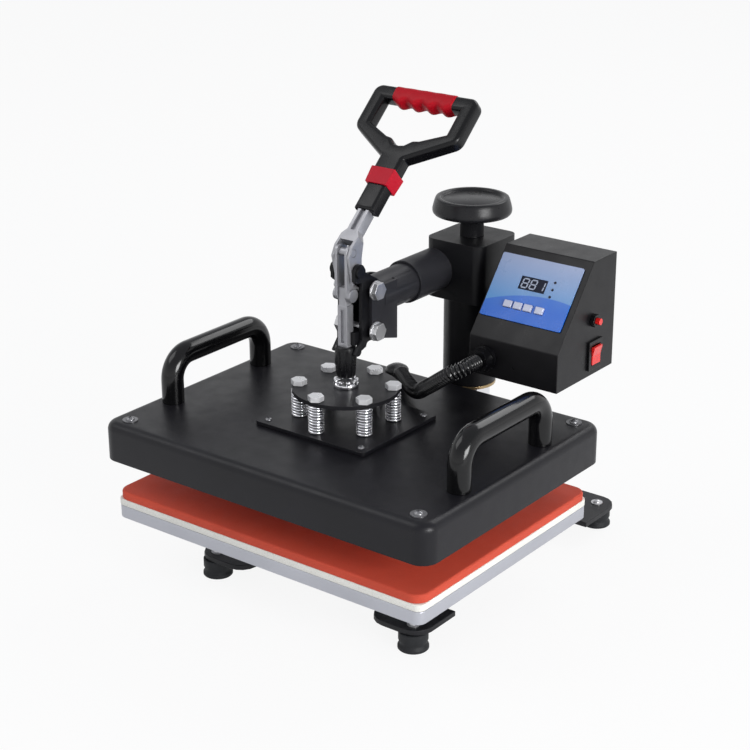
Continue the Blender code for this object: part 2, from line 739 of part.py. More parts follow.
def make_base():
    """Make the frame, feet, risers, post and the lower platen stack."""
    frame_black = finish("frame_black", BLACK, 0.5)
    frame = block("base_frame", frame_corner(-1, FRAME_FRONT_Y, FRAME_BOTTOM_Z, -1),
                  frame_corner(-1, FRAME_REAR_Y, FRAME_TOP_Z, 1), FRAME_CORNER)
    right = block("right_arm", frame_corner(1, FRAME_FRONT_Y, FRAME_BOTTOM_Z, -1),
                  frame_corner(1, FRAME_REAR_Y, FRAME_TOP_Z, 1), FRAME_CORNER)
    inner = FRAME_ARM_SPREAD_X - FRAME_ARM_WIDTH / 4
    mid_low = (FRAME_CENTRE_X - inner, MID_CROSS_Y - MID_CROSS_DEPTH / 2, FRAME_BOTTOM_Z)
    mid_high = (FRAME_CENTRE_X + inner, MID_CROSS_Y + MID_CROSS_DEPTH / 2, FRAME_TOP_Z)
    rear_low = (FRAME_CENTRE_X - inner, COLUMN_Y - REAR_CROSS_DEPTH / 2, FRAME_BOTTOM_Z)
    rear_high = (FRAME_CENTRE_X + inner, COLUMN_Y + REAR_CROSS_DEPTH / 2, FRAME_TOP_Z)
    join(frame, right, block("mid_cross", mid_low, mid_high),
         block("rear_cross", rear_low, rear_high))
    for side in (-1, 1):
        edge_x = FRAME_CENTRE_X + side * (FRAME_ARM_SPREAD_X + FRAME_ARM_WIDTH / 2)
        waist_x = edge_x - side * FRAME_WAIST
        far_x = edge_x + side * FRAME_WAIST
        cut(frame, block(f"frame_waist_{side}",
                         (min(waist_x, far_x), FRAME_WAIST_FRONT_Y, FRAME_BOTTOM_Z - OVERRUN),
                         (max(waist_x, far_x), FRAME_WAIST_REAR_Y, FRAME_TOP_Z + OVERRUN),
                         FRAME_WAIST_CORNER))
    settle(frame, BASE, frame_black)

    foot_rubber = finish("foot_rubber", BLACK, 0.8)
    for side, side_name in ((-1, "left"), (1, "right")):
        for foot_y, end_name in ((FOOT_FRONT_Y, "front"), (FOOT_REAR_Y, "rear")):
            profile = [(0.0, FOOT_HEIGHT), (FOOT_TOP_RADIUS, FOOT_HEIGHT),
                       (FOOT_TOP_RADIUS, FOOT_SHOULDER_Z), (FOOT_WAIST_RADIUS, FOOT_WAIST_Z),
                       (FOOT_BOTTOM_RADIUS, FOOT_RIM_Z), (FOOT_BOTTOM_RADIUS, 0.0), (0.0, 0.0)]
            foot_x = FRAME_CENTRE_X + side * FOOT_SPREAD_X
            foot = turned(f"foot_{end_name}_{side_name}", profile, (foot_x, foot_y, 0.0),
                          SMALL_SIDES)
            settle(foot, BASE, foot_rubber, SMOOTH)

    steel = finish("riser_steel", CHARCOAL, 0.5, 0.4)
    for side, side_name in ((-1, "left"), (1, "right")):
        middle_x = FRAME_CENTRE_X + side * (FRAME_ARM_SPREAD_X - FRAME_WAIST / 2)
        low = Vector((middle_x - RISER_WIDTH / 2, MID_CROSS_Y - RISER_LENGTH / 2, RISER_BOTTOM_Z))
        size = Vector((RISER_WIDTH, RISER_LENGTH, RISER_HEIGHT))
        riser = block(f"riser_{side_name}", low, low + size)
        wall = Vector((RISER_WALL, -OVERRUN, RISER_WALL))
        cut(riser, block(f"riser_bore_{side_name}", low + wall, low + size - wall))
        settle(riser, BASE, steel)

    post_bottom = FRAME_TOP_Z + GAP
    bore = SCREW_RADIUS + SCREW_CLEARANCE
    profile = [(0.0, POST_TOP_Z - POST_BORE_DEPTH), (bore, POST_TOP_Z - POST_BORE_DEPTH),
               (bore, POST_TOP_Z), (POST_RADIUS, POST_TOP_Z),
               (POST_RADIUS, post_bottom + POST_FLANGE_HEIGHT),
               (POST_FLANGE_RADIUS, post_bottom + POST_FLANGE_HEIGHT),
               (POST_FLANGE_RADIUS, post_bottom), (0.0, post_bottom)]
    post = turned("column_post", profile, (COLUMN_X, COLUMN_Y, 0.0))
    settle(post, BASE, finish("post_chrome", CHROME, 0.12, 1.0), SMOOTH)

    half = Vector((LOWER_WIDTH / 2, LOWER_DEPTH / 2, 0.0))
    layers = (
        ("lower_plate", LOWER_PLATE_Z, LOWER_PLATE_THICKNESS, LOWER_PLATE_CORNER, 0.0,
         finish("plate_silver", (0.60, 0.60, 0.68), 0.35, 0.9)),
        ("insulation_board", BOARD_Z, BOARD_THICKNESS, BOARD_CORNER, 0.0,
         finish("board_white", (0.85, 0.84, 0.80), 0.8)),
        ("silicone_pad", PAD_Z, PAD_THICKNESS, PAD_CORNER, PAD_EDGE,
         finish("silicone_red", (0.62, 0.10, 0.05), 0.6)),
    )
    for name, bottom, thickness, corner, edge, material in layers:
        low = -half + Vector((0.0, 0.0, bottom))
        layer = block(name, low, half + Vector((0.0, 0.0, bottom + thickness)), corner, edge)
        settle(layer, BASE, material)


def frame_corner(side, y, z, edge):
    """Return a corner place of one arm of the base frame."""
    middle = FRAME_CENTRE_X + side * FRAME_ARM_SPREAD_X
    return (middle + edge * FRAME_ARM_WIDTH / 2, y, z)


def make_column_head():
    """Make the bush, the head block with its sleeve, the knob and the screw."""
    bush_bore = POST_RADIUS + GAP
    bush_outer = bush_bore + BUSH_WALL
    flange_top = BUSH_BOTTOM_Z + BUSH_FLANGE_HEIGHT
    profile = [(bush_bore, BUSH_TOP_Z), (bush_outer, BUSH_TOP_Z), (bush_outer, flange_top),
               (SLEEVE_RADIUS, flange_top), (SLEEVE_RADIUS, BUSH_BOTTOM_Z),
               (bush_bore, BUSH_BOTTOM_Z), (bush_bore, BUSH_TOP_Z)]
    bush = turned("sleeve_bush", profile, (COLUMN_X, COLUMN_Y, 0.0))
    settle(bush, LIFT, finish("bush_bronze", (0.45, 0.36, 0.22), 0.4, 1.0), SMOOTH)

    half = HEAD_SIZE / 2
    head = block("column_head", (COLUMN_X - half, COLUMN_Y - half, HEAD_BOTTOM_Z),
                 (COLUMN_X + half, COLUMN_Y + half, HEAD_TOP_Z), HEAD_CORNER)
    sleeve_bottom = flange_top + GAP
    sleeve = rod("head_sleeve", (COLUMN_X, COLUMN_Y, sleeve_bottom),
                 HEAD_BOTTOM_Z - sleeve_bottom + OVERRUN, SLEEVE_RADIUS)
    boss_end = COLUMN_Y - half + OVERRUN
    boss = rod("head_boss", (AXIS_X, BOSS_FRONT_Y, ARM_Z), boss_end - BOSS_FRONT_Y,
               BOSS_RADIUS, "Y")
    join(head, sleeve, boss)
    web_bottom = HEAD_TOP_Z - HEAD_WEB
    bush_hole = bush_outer + GAP
    cut(head,
        rod("head_bore", (COLUMN_X, COLUMN_Y, sleeve_bottom - OVERRUN),
            web_bottom - sleeve_bottom + OVERRUN, bush_hole),
        rod("head_screw_hole", (COLUMN_X, COLUMN_Y, web_bottom - OVERRUN),
            HEAD_WEB + 2 * OVERRUN, SCREW_RADIUS + SCREW_CLEARANCE, sides=SMALL_SIDES),
        rod("head_arm_socket", (AXIS_X, BOSS_FRONT_Y - OVERRUN, ARM_Z),
            ARM_SOCKET_END_Y - BOSS_FRONT_Y + OVERRUN, ARM_RADIUS + GAP, "Y"))
    settle(head, HEAD, finish("head_black", BLACK, 0.42), SMOOTH)

    stem_bottom = HEAD_TOP_Z + GAP
    collar_bottom = KNOB_BOTTOM_Z - STEM_COLLAR_HEIGHT
    neck_hole = SCREW_NECK_RADIUS + GAP
    neck_top = SCREW_NECK_TOP_Z + GAP
    rim_radius = KNOB_DISH_RADIUS + KNOB_RIM
    profile = [(0.0, KNOB_TOP_Z - KNOB_DISH_DEPTH), (KNOB_DISH_RADIUS, KNOB_TOP_Z - KNOB_DISH_DEPTH),
               (rim_radius, KNOB_TOP_Z), (KNOB_RADIUS - KNOB_EDGE, KNOB_TOP_Z - KNOB_CROWN),
               (KNOB_RADIUS, KNOB_TOP_Z - KNOB_EDGE_HEIGHT),
               (KNOB_RADIUS, KNOB_BOTTOM_Z + KNOB_EDGE_HEIGHT),
               (KNOB_RADIUS - KNOB_EDGE, KNOB_BOTTOM_Z), (STEM_COLLAR_RADIUS, KNOB_BOTTOM_Z),
               (STEM_COLLAR_RADIUS, collar_bottom), (STEM_RADIUS, collar_bottom),
               (STEM_RADIUS, stem_bottom), (neck_hole, stem_bottom), (neck_hole, neck_top),
               (0.0, neck_top)]
    knob = turned("pressure_knob", profile, (COLUMN_X, COLUMN_Y, 0.0))
    settle(knob, KNOB, finish("knob_black", BLACK, 0.45), SMOOTH)

    collar_top = web_bottom - GAP
    neck_bottom = HEAD_TOP_Z
    profile = [(0.0, SCREW_NECK_TOP_Z), (SCREW_NECK_RADIUS, SCREW_NECK_TOP_Z),
               (SCREW_NECK_RADIUS, neck_bottom), (SCREW_RADIUS, neck_bottom),
               (SCREW_RADIUS, collar_top), (SCREW_COLLAR_RADIUS, collar_top),
               (SCREW_COLLAR_RADIUS, collar_top - SCREW_COLLAR_HEIGHT),
               (SCREW_RADIUS, collar_top - SCREW_COLLAR_HEIGHT),
               (SCREW_RADIUS, SCREW_BOTTOM_Z), (0.0, SCREW_BOTTOM_Z)]
    screw = turned("pressure_screw", profile, (COLUMN_X, COLUMN_Y, 0.0), SMALL_SIDES)
    settle(screw, KNOB, finish("screw_steel", SILVER, 0.3, 1.0), SMOOTH)


def make_arm():
    """Make the arm weldment, the bracket plates, the rod guide and the bolts."""
    channel_low = (AXIS_X - CHANNEL_HALF_WIDTH, CHANNEL_FRONT_Y, CHANNEL_BOTTOM_Z)
    channel_high = (AXIS_X + CHANNEL_HALF_WIDTH, CHANNEL_REAR_Y, CHANNEL_TOP_Z)
    arm = block("arm", channel_low, channel_high, CHANNEL_CORNER)
    inner = CHANNEL_HALF_WIDTH - CHANNEL_WALL
    cut(arm, block("channel_gap",
                   (AXIS_X - inner, CHANNEL_FRONT_Y - OVERRUN, CHANNEL_BOTTOM_Z - OVERRUN),
                   (AXIS_X + inner, CHANNEL_REAR_Y - CHANNEL_WALL, CHANNEL_TOP_Z + OVERRUN)),
        block("channel_mouth",
              (AXIS_X - CHANNEL_HALF_WIDTH - OVERRUN, CHANNEL_FRONT_Y - OVERRUN,
               CHANNEL_BOTTOM_Z - OVERRUN),
              (AXIS_X + CHANNEL_HALF_WIDTH + OVERRUN, CHANNEL_FRONT_Y + CHANNEL_CORNER,
               CHANNEL_TOP_Z + OVERRUN)))
    join(arm, rod("arm_tube", (AXIS_X, ARM_FRONT_Y, ARM_Z),
                  ARM_SOCKET_END_Y - GAP - ARM_FRONT_Y, ARM_RADIUS, "Y"))
    cut(arm, rod("arm_bore", (AXIS_X, ARM_FRONT_Y - OVERRUN, ARM_Z),
                 ARM_SOCKET_END_Y - ARM_FRONT_Y + 2 * OVERRUN, ARM_RADIUS - ARM_WALL, "Y"))
    bolt_hole = BOLT_RADIUS + GAP
    width = 2 * (CHANNEL_HALF_WIDTH + OVERRUN)
    for index, bolt_z in enumerate(BOLT_Z):
        start = (AXIS_X - CHANNEL_HALF_WIDTH - OVERRUN, BOLT_Y, bolt_z)
        cut(arm, rod(f"arm_bolt_hole_{index}", start, width, bolt_hole, "X", SMALL_SIDES))
    settle(arm, HEAD, finish("arm_grey", CHARCOAL, 0.42), SMOOTH)

    bracket_black = finish("bracket_black", BLACK, 0.45)
    for side, side_name in ((-1, "left"), (1, "right")):
        low_x = AXIS_X + min(side * BRACKET_INNER, side * BRACKET_OUTER)
        high_x = AXIS_X + max(side * BRACKET_INNER, side * BRACKET_OUTER)
        bracket = side_plate(f"bracket_{side_name}", bracket_outline(), low_x, high_x)
        stub_end = BRACKET_OUTER + FULCRUM_HEAD_HEIGHT / 2
        stub_length = stub_end - CHEEK_INNER
        stub_start = min(side * CHEEK_INNER, side * stub_end)
        stub = rod(f"fulcrum_stub_{side_name}", (AXIS_X + stub_start, FULCRUM_Y, FULCRUM_Z),
                   stub_length, FULCRUM_RADIUS, "X", SMALL_SIDES)
        middle = (BRACKET_INNER + BRACKET_OUTER) / 2
        cap_end = BRACKET_OUTER + FULCRUM_HEAD_HEIGHT
        cap_start = min(side * middle, side * cap_end)
        cap = rod(f"fulcrum_cap_{side_name}", (AXIS_X + cap_start, FULCRUM_Y, FULCRUM_Z),
                  cap_end - middle, FULCRUM_HEAD, "X", SMALL_SIDES)
        join(bracket, stub, cap)
        for index, bolt_z in enumerate(BOLT_Z):
            cut(bracket, rod(f"bracket_hole_{side_name}_{index}",
                             (low_x - OVERRUN, BOLT_Y, bolt_z),
                             BRACKET_OUTER - BRACKET_INNER + 2 * OVERRUN, bolt_hole, "X",
                             SMALL_SIDES))
        settle(bracket, HEAD, bracket_black, SMOOTH)

    reach = BRACKET_INNER - GAP
    guide = block("rod_guide", (AXIS_X - reach, GUIDE_FRONT_Y, GUIDE_BOTTOM_Z),
                  (AXIS_X + reach, GUIDE_REAR_Y, GUIDE_BOTTOM_Z + GUIDE_HEIGHT))
    slot = ROD_HALF_WIDTH + GAP
    cut(guide, block("guide_slot",
                     (AXIS_X - slot, GUIDE_FRONT_Y - OVERRUN, GUIDE_BOTTOM_Z - OVERRUN),
                     (AXIS_X + slot, AXIS_Y + ROD_DEPTH / 2 + GAP,
                      GUIDE_BOTTOM_Z + GUIDE_HEIGHT + OVERRUN)))
    settle(guide, HEAD, finish("guide_black", BLACK, 0.5))

    bolt_zinc = finish("bolt_zinc", SILVER, 0.28, 1.0)
    for bolt_z, bolt_name in zip(BOLT_Z, ("bracket_bolt_lower", "bracket_bolt_upper")):
        seat = CHANNEL_HALF_WIDTH + GAP
        bolt = rod(bolt_name, (AXIS_X - seat - OVERRUN / 2, BOLT_Y, bolt_z),
                   2 * seat + OVERRUN, BOLT_RADIUS, "X", SMALL_SIDES)
        for side in (-1, 1):
            head_seat = seat + BOLT_WASHER_HEIGHT / 2
            washer_start = min(side * seat, side * (seat + BOLT_WASHER_HEIGHT))
            head_start = min(side * head_seat, side * (head_seat + BOLT_HEAD_HEIGHT))
            join(bolt,
                 rod(f"{bolt_name}_washer_{side}", (AXIS_X + washer_start, BOLT_Y, bolt_z),
                     BOLT_WASHER_HEIGHT, BOLT_WASHER_RADIUS, "X", SMALL_SIDES),
                 rod(f"{bolt_name}_head_{side}", (AXIS_X + head_start, BOLT_Y, bolt_z),
                     BOLT_HEAD_HEIGHT, BOLT_HEAD_RADIUS, "X", HEX_SIDES))
        settle(bolt, HEAD, bolt_zinc)


def bracket_outline():
    """List the (y, z) outline of a bracket plate."""
    return rounded([
        (BRACKET_FRONT_Y, BRACKET_BOTTOM_Z, BRACKET_ROUND),
        (BRACKET_FRONT_Y, BRACKET_NOSE_Z, BRACKET_ROUND),
        (FULCRUM_Y - FULCRUM_EYE, BRACKET_NOSE_Z + BRACKET_ROUND / 2, 0.0),
        (FULCRUM_Y - FULCRUM_EYE, FULCRUM_Z + FULCRUM_EYE, FULCRUM_EYE_ROUND),
        (FULCRUM_Y + FULCRUM_EYE, FULCRUM_Z + FULCRUM_EYE, FULCRUM_EYE_ROUND),
        (FULCRUM_Y + FULCRUM_EYE, BRACKET_TOP_Z, 0.0),
        (BRACKET_REAR_Y, BRACKET_TOP_Z, BRACKET_ROUND),
        (BRACKET_REAR_Y, BOLT_Z[0] - BOLT_WASHER_RADIUS, BRACKET_ROUND),
        (BOLT_Y - BOLT_WASHER_RADIUS, BOLT_Z[0] - BOLT_WASHER_RADIUS, BRACKET_ROUND),
        (BRACKET_TONGUE_REAR_Y, BRACKET_TONGUE_Z, BRACKET_ROUND),
        (BRACKET_TONGUE_FRONT_Y, BRACKET_TONGUE_Z, BRACKET_ROUND),
    ])


def make_toggle():
    """Make the crank pin, the links and the push rod with its spring plate."""
    link_zinc = finish("link_zinc", SILVER, 0.28, 1.0)
    reach = CHEEK_OUTER
    pin = rod("crank_pin", (AXIS_X - reach, AXIS_Y, CRANK_PIN_Z), 2 * reach, CRANK_PIN_RADIUS,
              "X", SMALL_SIDES)
    settle(pin, LEVER, finish("pin_steel", SILVER, 0.3, 1.0), SMOOTH)
    for side, side_name in ((-1, "left"), (1, "right")):
        low_x = AXIS_X + min(side * LINK_INNER, side * LINK_OUTER)
        thickness = LINK_OUTER - LINK_INNER
        link = side_plate(f"link_{side_name}", link_outline(), low_x, low_x + thickness)
        middle = (LINK_INNER + LINK_OUTER) / 2
        head_end = LINK_OUTER + LINK_HEAD_HEIGHT
        head_start = AXIS_X + min(side * middle, side * head_end)
        join(link, rod(f"link_pin_head_{side_name}", (head_start, AXIS_Y, LINK_FOOT_Z),
                       head_end - middle, LINK_HEAD_RADIUS, "X", SMALL_SIDES))
        cut(link, rod(f"link_hole_{side_name}", (low_x - OVERRUN, AXIS_Y, CRANK_PIN_Z),
                      thickness + 2 * OVERRUN, CRANK_PIN_RADIUS + GAP, "X", SMALL_SIDES))
        settle(link, LINKS, link_zinc, SMOOTH)

    front = AXIS_Y - ROD_DEPTH / 2
    back = AXIS_Y + ROD_DEPTH / 2
    push = block("push_rod", (AXIS_X - ROD_HALF_WIDTH, front, ROD_BOTTOM_Z),
                 (AXIS_X + ROD_HALF_WIDTH, back, ROD_SHOULDER_Z))
    join(push, block("rod_tongue",
                     (AXIS_X - ROD_TONGUE, AXIS_Y - ROD_TONGUE, ROD_SHOULDER_Z - OVERRUN),
                     (AXIS_X + ROD_TONGUE, AXIS_Y + ROD_TONGUE, ROD_TOP_Z)))
    groove = ROD_GROOVE_WIDTH / 2
    cut(push, block("rod_groove",
                    (AXIS_X - groove, front - OVERRUN, SOCKET_TOP_Z + OVERRUN),
                    (AXIS_X + groove, front + ROD_GROOVE_DEPTH, ROD_SHOULDER_Z - OVERRUN)))
    settle(push, ROD, finish("rod_silver", SILVER, 0.3, 1.0))

    socket = rod("rod_socket", (AXIS_X, AXIS_Y, SOCKET_BOTTOM_Z), SOCKET_TOP_Z - SOCKET_BOTTOM_Z,
                 SOCKET_RADIUS)
    cut(socket, block("socket_pocket",
                      (AXIS_X - ROD_HALF_WIDTH - GAP, front - GAP, SOCKET_TOP_Z - SOCKET_POCKET),
                      (AXIS_X + ROD_HALF_WIDTH + GAP, back + GAP, SOCKET_TOP_Z + OVERRUN)))
    settle(socket, ROD, finish("socket_black", BLACK, 0.45), SMOOTH)
    nut_bottom = SPRING_PLATE_TOP_Z + GAP
    nut = rod("centre_nut", (AXIS_X, AXIS_Y, nut_bottom), NUT_HEIGHT, NUT_RADIUS, sides=HEX_SIDES)
    settle(nut, ROD, finish("nut_chrome", CHROME, 0.2, 1.0))
    disc = rod("spring_plate", (AXIS_X, AXIS_Y, SPRING_PLATE_Z), SPRING_PLATE_THICKNESS,
               SPRING_PLATE_RADIUS)
    for index, (x, y) in enumerate(spring_places()):
        cut(disc, rod(f"plate_hole_{index}", (x, y, SPRING_PLATE_Z - OVERRUN),
                      SPRING_PLATE_THICKNESS + 2 * OVERRUN, STUD_HOLE_RADIUS,
                      sides=SMALL_SIDES))
    settle(disc, ROD, finish("disc_black", CHARCOAL, 0.45), SMOOTH)


def link_outline():
    """List the (y, z) outline of a link, round at both pins."""
    front = AXIS_Y - LINK_EYE
    back = AXIS_Y + LINK_EYE
    low = LINK_FOOT_Z - LINK_EYE
    high = CRANK_PIN_Z + LINK_EYE
    arc = LINK_EYE - GAP
    return rounded([(front, low, arc), (back, low, arc), (back, high, arc), (front, high, arc)])


def spring_places():
    """List the (x, y) places of the springs around the toggle axis."""
    places = []
    for index in range(SPRING_COUNT):
        angle = math.tau * (index + 0.5) / SPRING_COUNT
        places.append((AXIS_X + SPRING_CIRCLE * math.cos(angle),
                       AXIS_Y + SPRING_CIRCLE * math.sin(angle)))
    return places


def make_lever():
    """Make the lever with its crank cheeks, and the D handle on it."""
    half = LEVER_DEPTH / 2
    lever = block("lever_channel", (-LEVER_HALF_WIDTH, -half, LEVER_FOOT_START),
                  (LEVER_HALF_WIDTH, half, LEVER_END))
    groove = LEVER_GROOVE_WIDTH / 2
    foot_half = CHEEK_OUTER - GAP
    join(lever, block("lever_foot", (-foot_half, -half, LEVER_FOOT_START),
                      (foot_half, half, LEVER_FOOT_END)),
         block("lever_core", (-LEVER_CORE, -LEVER_CORE, LEVER_FOOT_END),
               (LEVER_CORE, LEVER_CORE, LEVER_CORE_END)))
    cut(lever, block("lever_groove", (-groove, -half - OVERRUN, LEVER_FOOT_END),
                     (groove, -half + LEVER_GROOVE_DEPTH, LEVER_END + OVERRUN)))
    for side, side_name in ((-1, "left"), (1, "right")):
        low_x = min(side * CHEEK_INNER, side * CHEEK_OUTER)
        high_x = max(side * CHEEK_INNER, side * CHEEK_OUTER)
        cheek = side_plate(f"cheek_{side_name}", cheek_outline(), low_x, high_x)
        cheek.rotation_euler = (LEVER_LEAN, 0.0, 0.0)
        join(lever, cheek)
        for hole_name, (y, z), radius in crank_holes():
            hole = rod(f"{hole_name}_{side_name}", (low_x - OVERRUN, y, z),
                       CHEEK_OUTER - CHEEK_INNER + 2 * OVERRUN, radius, "X", SMALL_SIDES)
            hole.rotation_euler = (LEVER_LEAN, 0.0, 0.0)
            cut(lever, hole)
    settle(lever, LEVER_LINE, finish("lever_zinc", SILVER, 0.28, 1.0), local=True)

    edge = HANDLE_EDGE
    handle = plate("handle_frame", handle_outline(edge), HANDLE_DEPTH, edge)
    handle.data.transform(Matrix.Rotation(math.pi / 2, 4, "X"))
    bore = LEVER_CORE + GAP
    join(handle, rod("handle_bar", (-HOLE_HALF_WIDTH, 0.0, (HOLE_TOP + HANDLE_TOP) / 2),
                     2 * HOLE_HALF_WIDTH, HANDLE_BAR_RADIUS, "X", SMALL_SIDES))
    cut(handle, block("handle_bore", (-bore, -bore, NECK_START - OVERRUN),
                      (bore, bore, LEVER_CORE_END + GAP)))
    for side, side_name in ((-1, "left"), (1, "right")):
        low_x = min(side * WAIST_HALF_WIDTH, side * (THROAT_HALF_WIDTH + OVERRUN))
        high_x = max(side * WAIST_HALF_WIDTH, side * (THROAT_HALF_WIDTH + OVERRUN))
        cut(handle, block(f"waist_{side_name}", (low_x, -HANDLE_DEPTH, COLLAR_START),
                          (high_x, HANDLE_DEPTH, COLLAR_END)))
    settle(handle, LEVER_LINE, finish("handle_black", BLACK, 0.35), SMOOTH, local=True)

    collar = plate("red_collar", [
        (-COLLAR_LOWER_HALF_WIDTH, COLLAR_START + GAP), (COLLAR_LOWER_HALF_WIDTH, COLLAR_START + GAP),
        (COLLAR_UPPER_HALF_WIDTH, COLLAR_END - GAP), (-COLLAR_UPPER_HALF_WIDTH, COLLAR_END - GAP),
    ], COLLAR_DEPTH)
    collar.data.transform(Matrix.Rotation(math.pi / 2, 4, "X"))
    waist = WAIST_HALF_WIDTH + GAP
    depth = HANDLE_DEPTH / 2 + GAP
    cut(collar, block("collar_bore", (-waist, -depth, COLLAR_START - OVERRUN),
                      (waist, depth, COLLAR_END + OVERRUN)))
    red = finish("handle_red", RED, 0.4)
    settle(collar, LEVER_LINE, red, local=True)

    grip_half = HANDLE_ARM_END_X - GAP
    grip = block("red_grip", (-grip_half, -GRIP_DEPTH / 2, GRIP_BOTTOM),
                 (grip_half, GRIP_DEPTH / 2, GRIP_TOP))
    lengthwise = grip.modifiers.new("soft_edges", "BEVEL")
    lengthwise.width = GRIP_EDGE
    lengthwise.segments = 3
    lengthwise.limit_method = "WEIGHT"
    weight_long_edges(grip)
    cut(grip, rod("grip_bore", (-grip_half - OVERRUN, 0.0, (HOLE_TOP + HANDLE_TOP) / 2),
                  2 * (grip_half + OVERRUN), HANDLE_BAR_RADIUS + GAP, "X", SMALL_SIDES))
    pitch = 2 * grip_half / SCALLOP_COUNT
    for index in range(SCALLOP_COUNT):
        x = -grip_half + pitch * (index + 0.5)
        centre_s = GRIP_BOTTOM - SCALLOP_RADIUS + SCALLOP_BITE
        cut(grip, rod(f"scallop_{index}", (x, -GRIP_DEPTH / 2 - OVERRUN, centre_s),
                      GRIP_DEPTH + 2 * OVERRUN, SCALLOP_RADIUS, "Y", SMALL_SIDES))
    settle(grip, LEVER_LINE, red, SMOOTH, local=True)


def weight_long_edges(item):
    """Mark the edges that run along X for the Bevel modifier."""
    mesh = item.data
    weights = mesh.attributes.new("bevel_weight_edge", "FLOAT", "EDGE")
    for edge in mesh.edges:
        first, last = (mesh.vertices[index].co for index in edge.vertices)
        along_x = abs(first.y - last.y) + abs(first.z - last.z) < abs(first.x - last.x) / 100
        weights.data[edge.index].value = 1.0 if along_x else 0.0


def crank_holes():
    """List the cheek's holes about the crank pin, upright in the layout."""
    fulcrum = (FULCRUM_Y - AXIS_Y, FULCRUM_Z - CRANK_PIN_Z)
    return (("fulcrum_hole", fulcrum, FULCRUM_RADIUS + GAP),
            ("crank_hole", (0.0, 0.0), CRANK_PIN_RADIUS + GAP))


def cheek_outline():
    """List a cheek's (y, z) outline about the crank pin, upright in the layout."""
    top = CHEEK_TOP_Z - CRANK_PIN_Z
    bottom = CHEEK_BOTTOM_Z - CRANK_PIN_Z
    front = CHEEK_FRONT_Y - AXIS_Y
    rear = CHEEK_REAR_Y - AXIS_Y
    foot_reach = LEVER_FOOT_END - GAP
    lean = Vector((math.sin(LEVER_LEAN), math.cos(LEVER_LEAN)))
    across = Vector((math.cos(LEVER_LEAN), -math.sin(LEVER_LEAN))) * (LEVER_DEPTH / 2 - GAP)
    upper = lean * foot_reach - across
    lower = lean * foot_reach + across
    return [
        Vector((front + CHEEK_CORNER, bottom)), Vector((rear - CHEEK_CORNER, bottom)),
        Vector((rear, bottom + CHEEK_CUT)), Vector((rear, -CHEEK_CUT)), lower, upper,
        Vector((front + CHEEK_CORNER, top + CHEEK_CORNER / 2)), Vector((front, top - CHEEK_CUT)),
        Vector((front, bottom + CHEEK_CUT)),
    ]


def handle_outline(inset):
    """List the (x, s) outline of the D handle, drawn in by its rounded edge."""
    neck = NECK_HALF_WIDTH - inset
    throat = THROAT_HALF_WIDTH - inset
    outer = HANDLE_HALF_WIDTH - inset
    hole = HOLE_HALF_WIDTH + inset
    slant = inset / 2
    right = [
        (neck, NECK_START + inset, 0.0), (neck, COLLAR_START, 0.0),
        (throat, COLLAR_END, 0.0), (throat, THROAT_END + slant, OUTER_CORNER),
        (outer, HANDLE_HIP + slant, OUTER_CORNER), (outer, HANDLE_TOP - inset, OUTER_CORNER),
        (HANDLE_ARM_END_X + inset, HANDLE_TOP - inset, 0.0),
        (HANDLE_ARM_END_X + inset, HOLE_TOP + inset, 0.0),
        (hole, HOLE_TOP + inset, 0.0), (hole, HOLE_SIDE_END - inset, INNER_CORNER),
        (HOLE_BUMP_X, HOLE_BUMP - inset, INNER_CORNER), (0.0, HOLE_NOTCH - inset, 0.0),
    ]
    left = [(-x, s, radius) for x, s, radius in reversed(right[:-1])]
    return rounded(right + left)


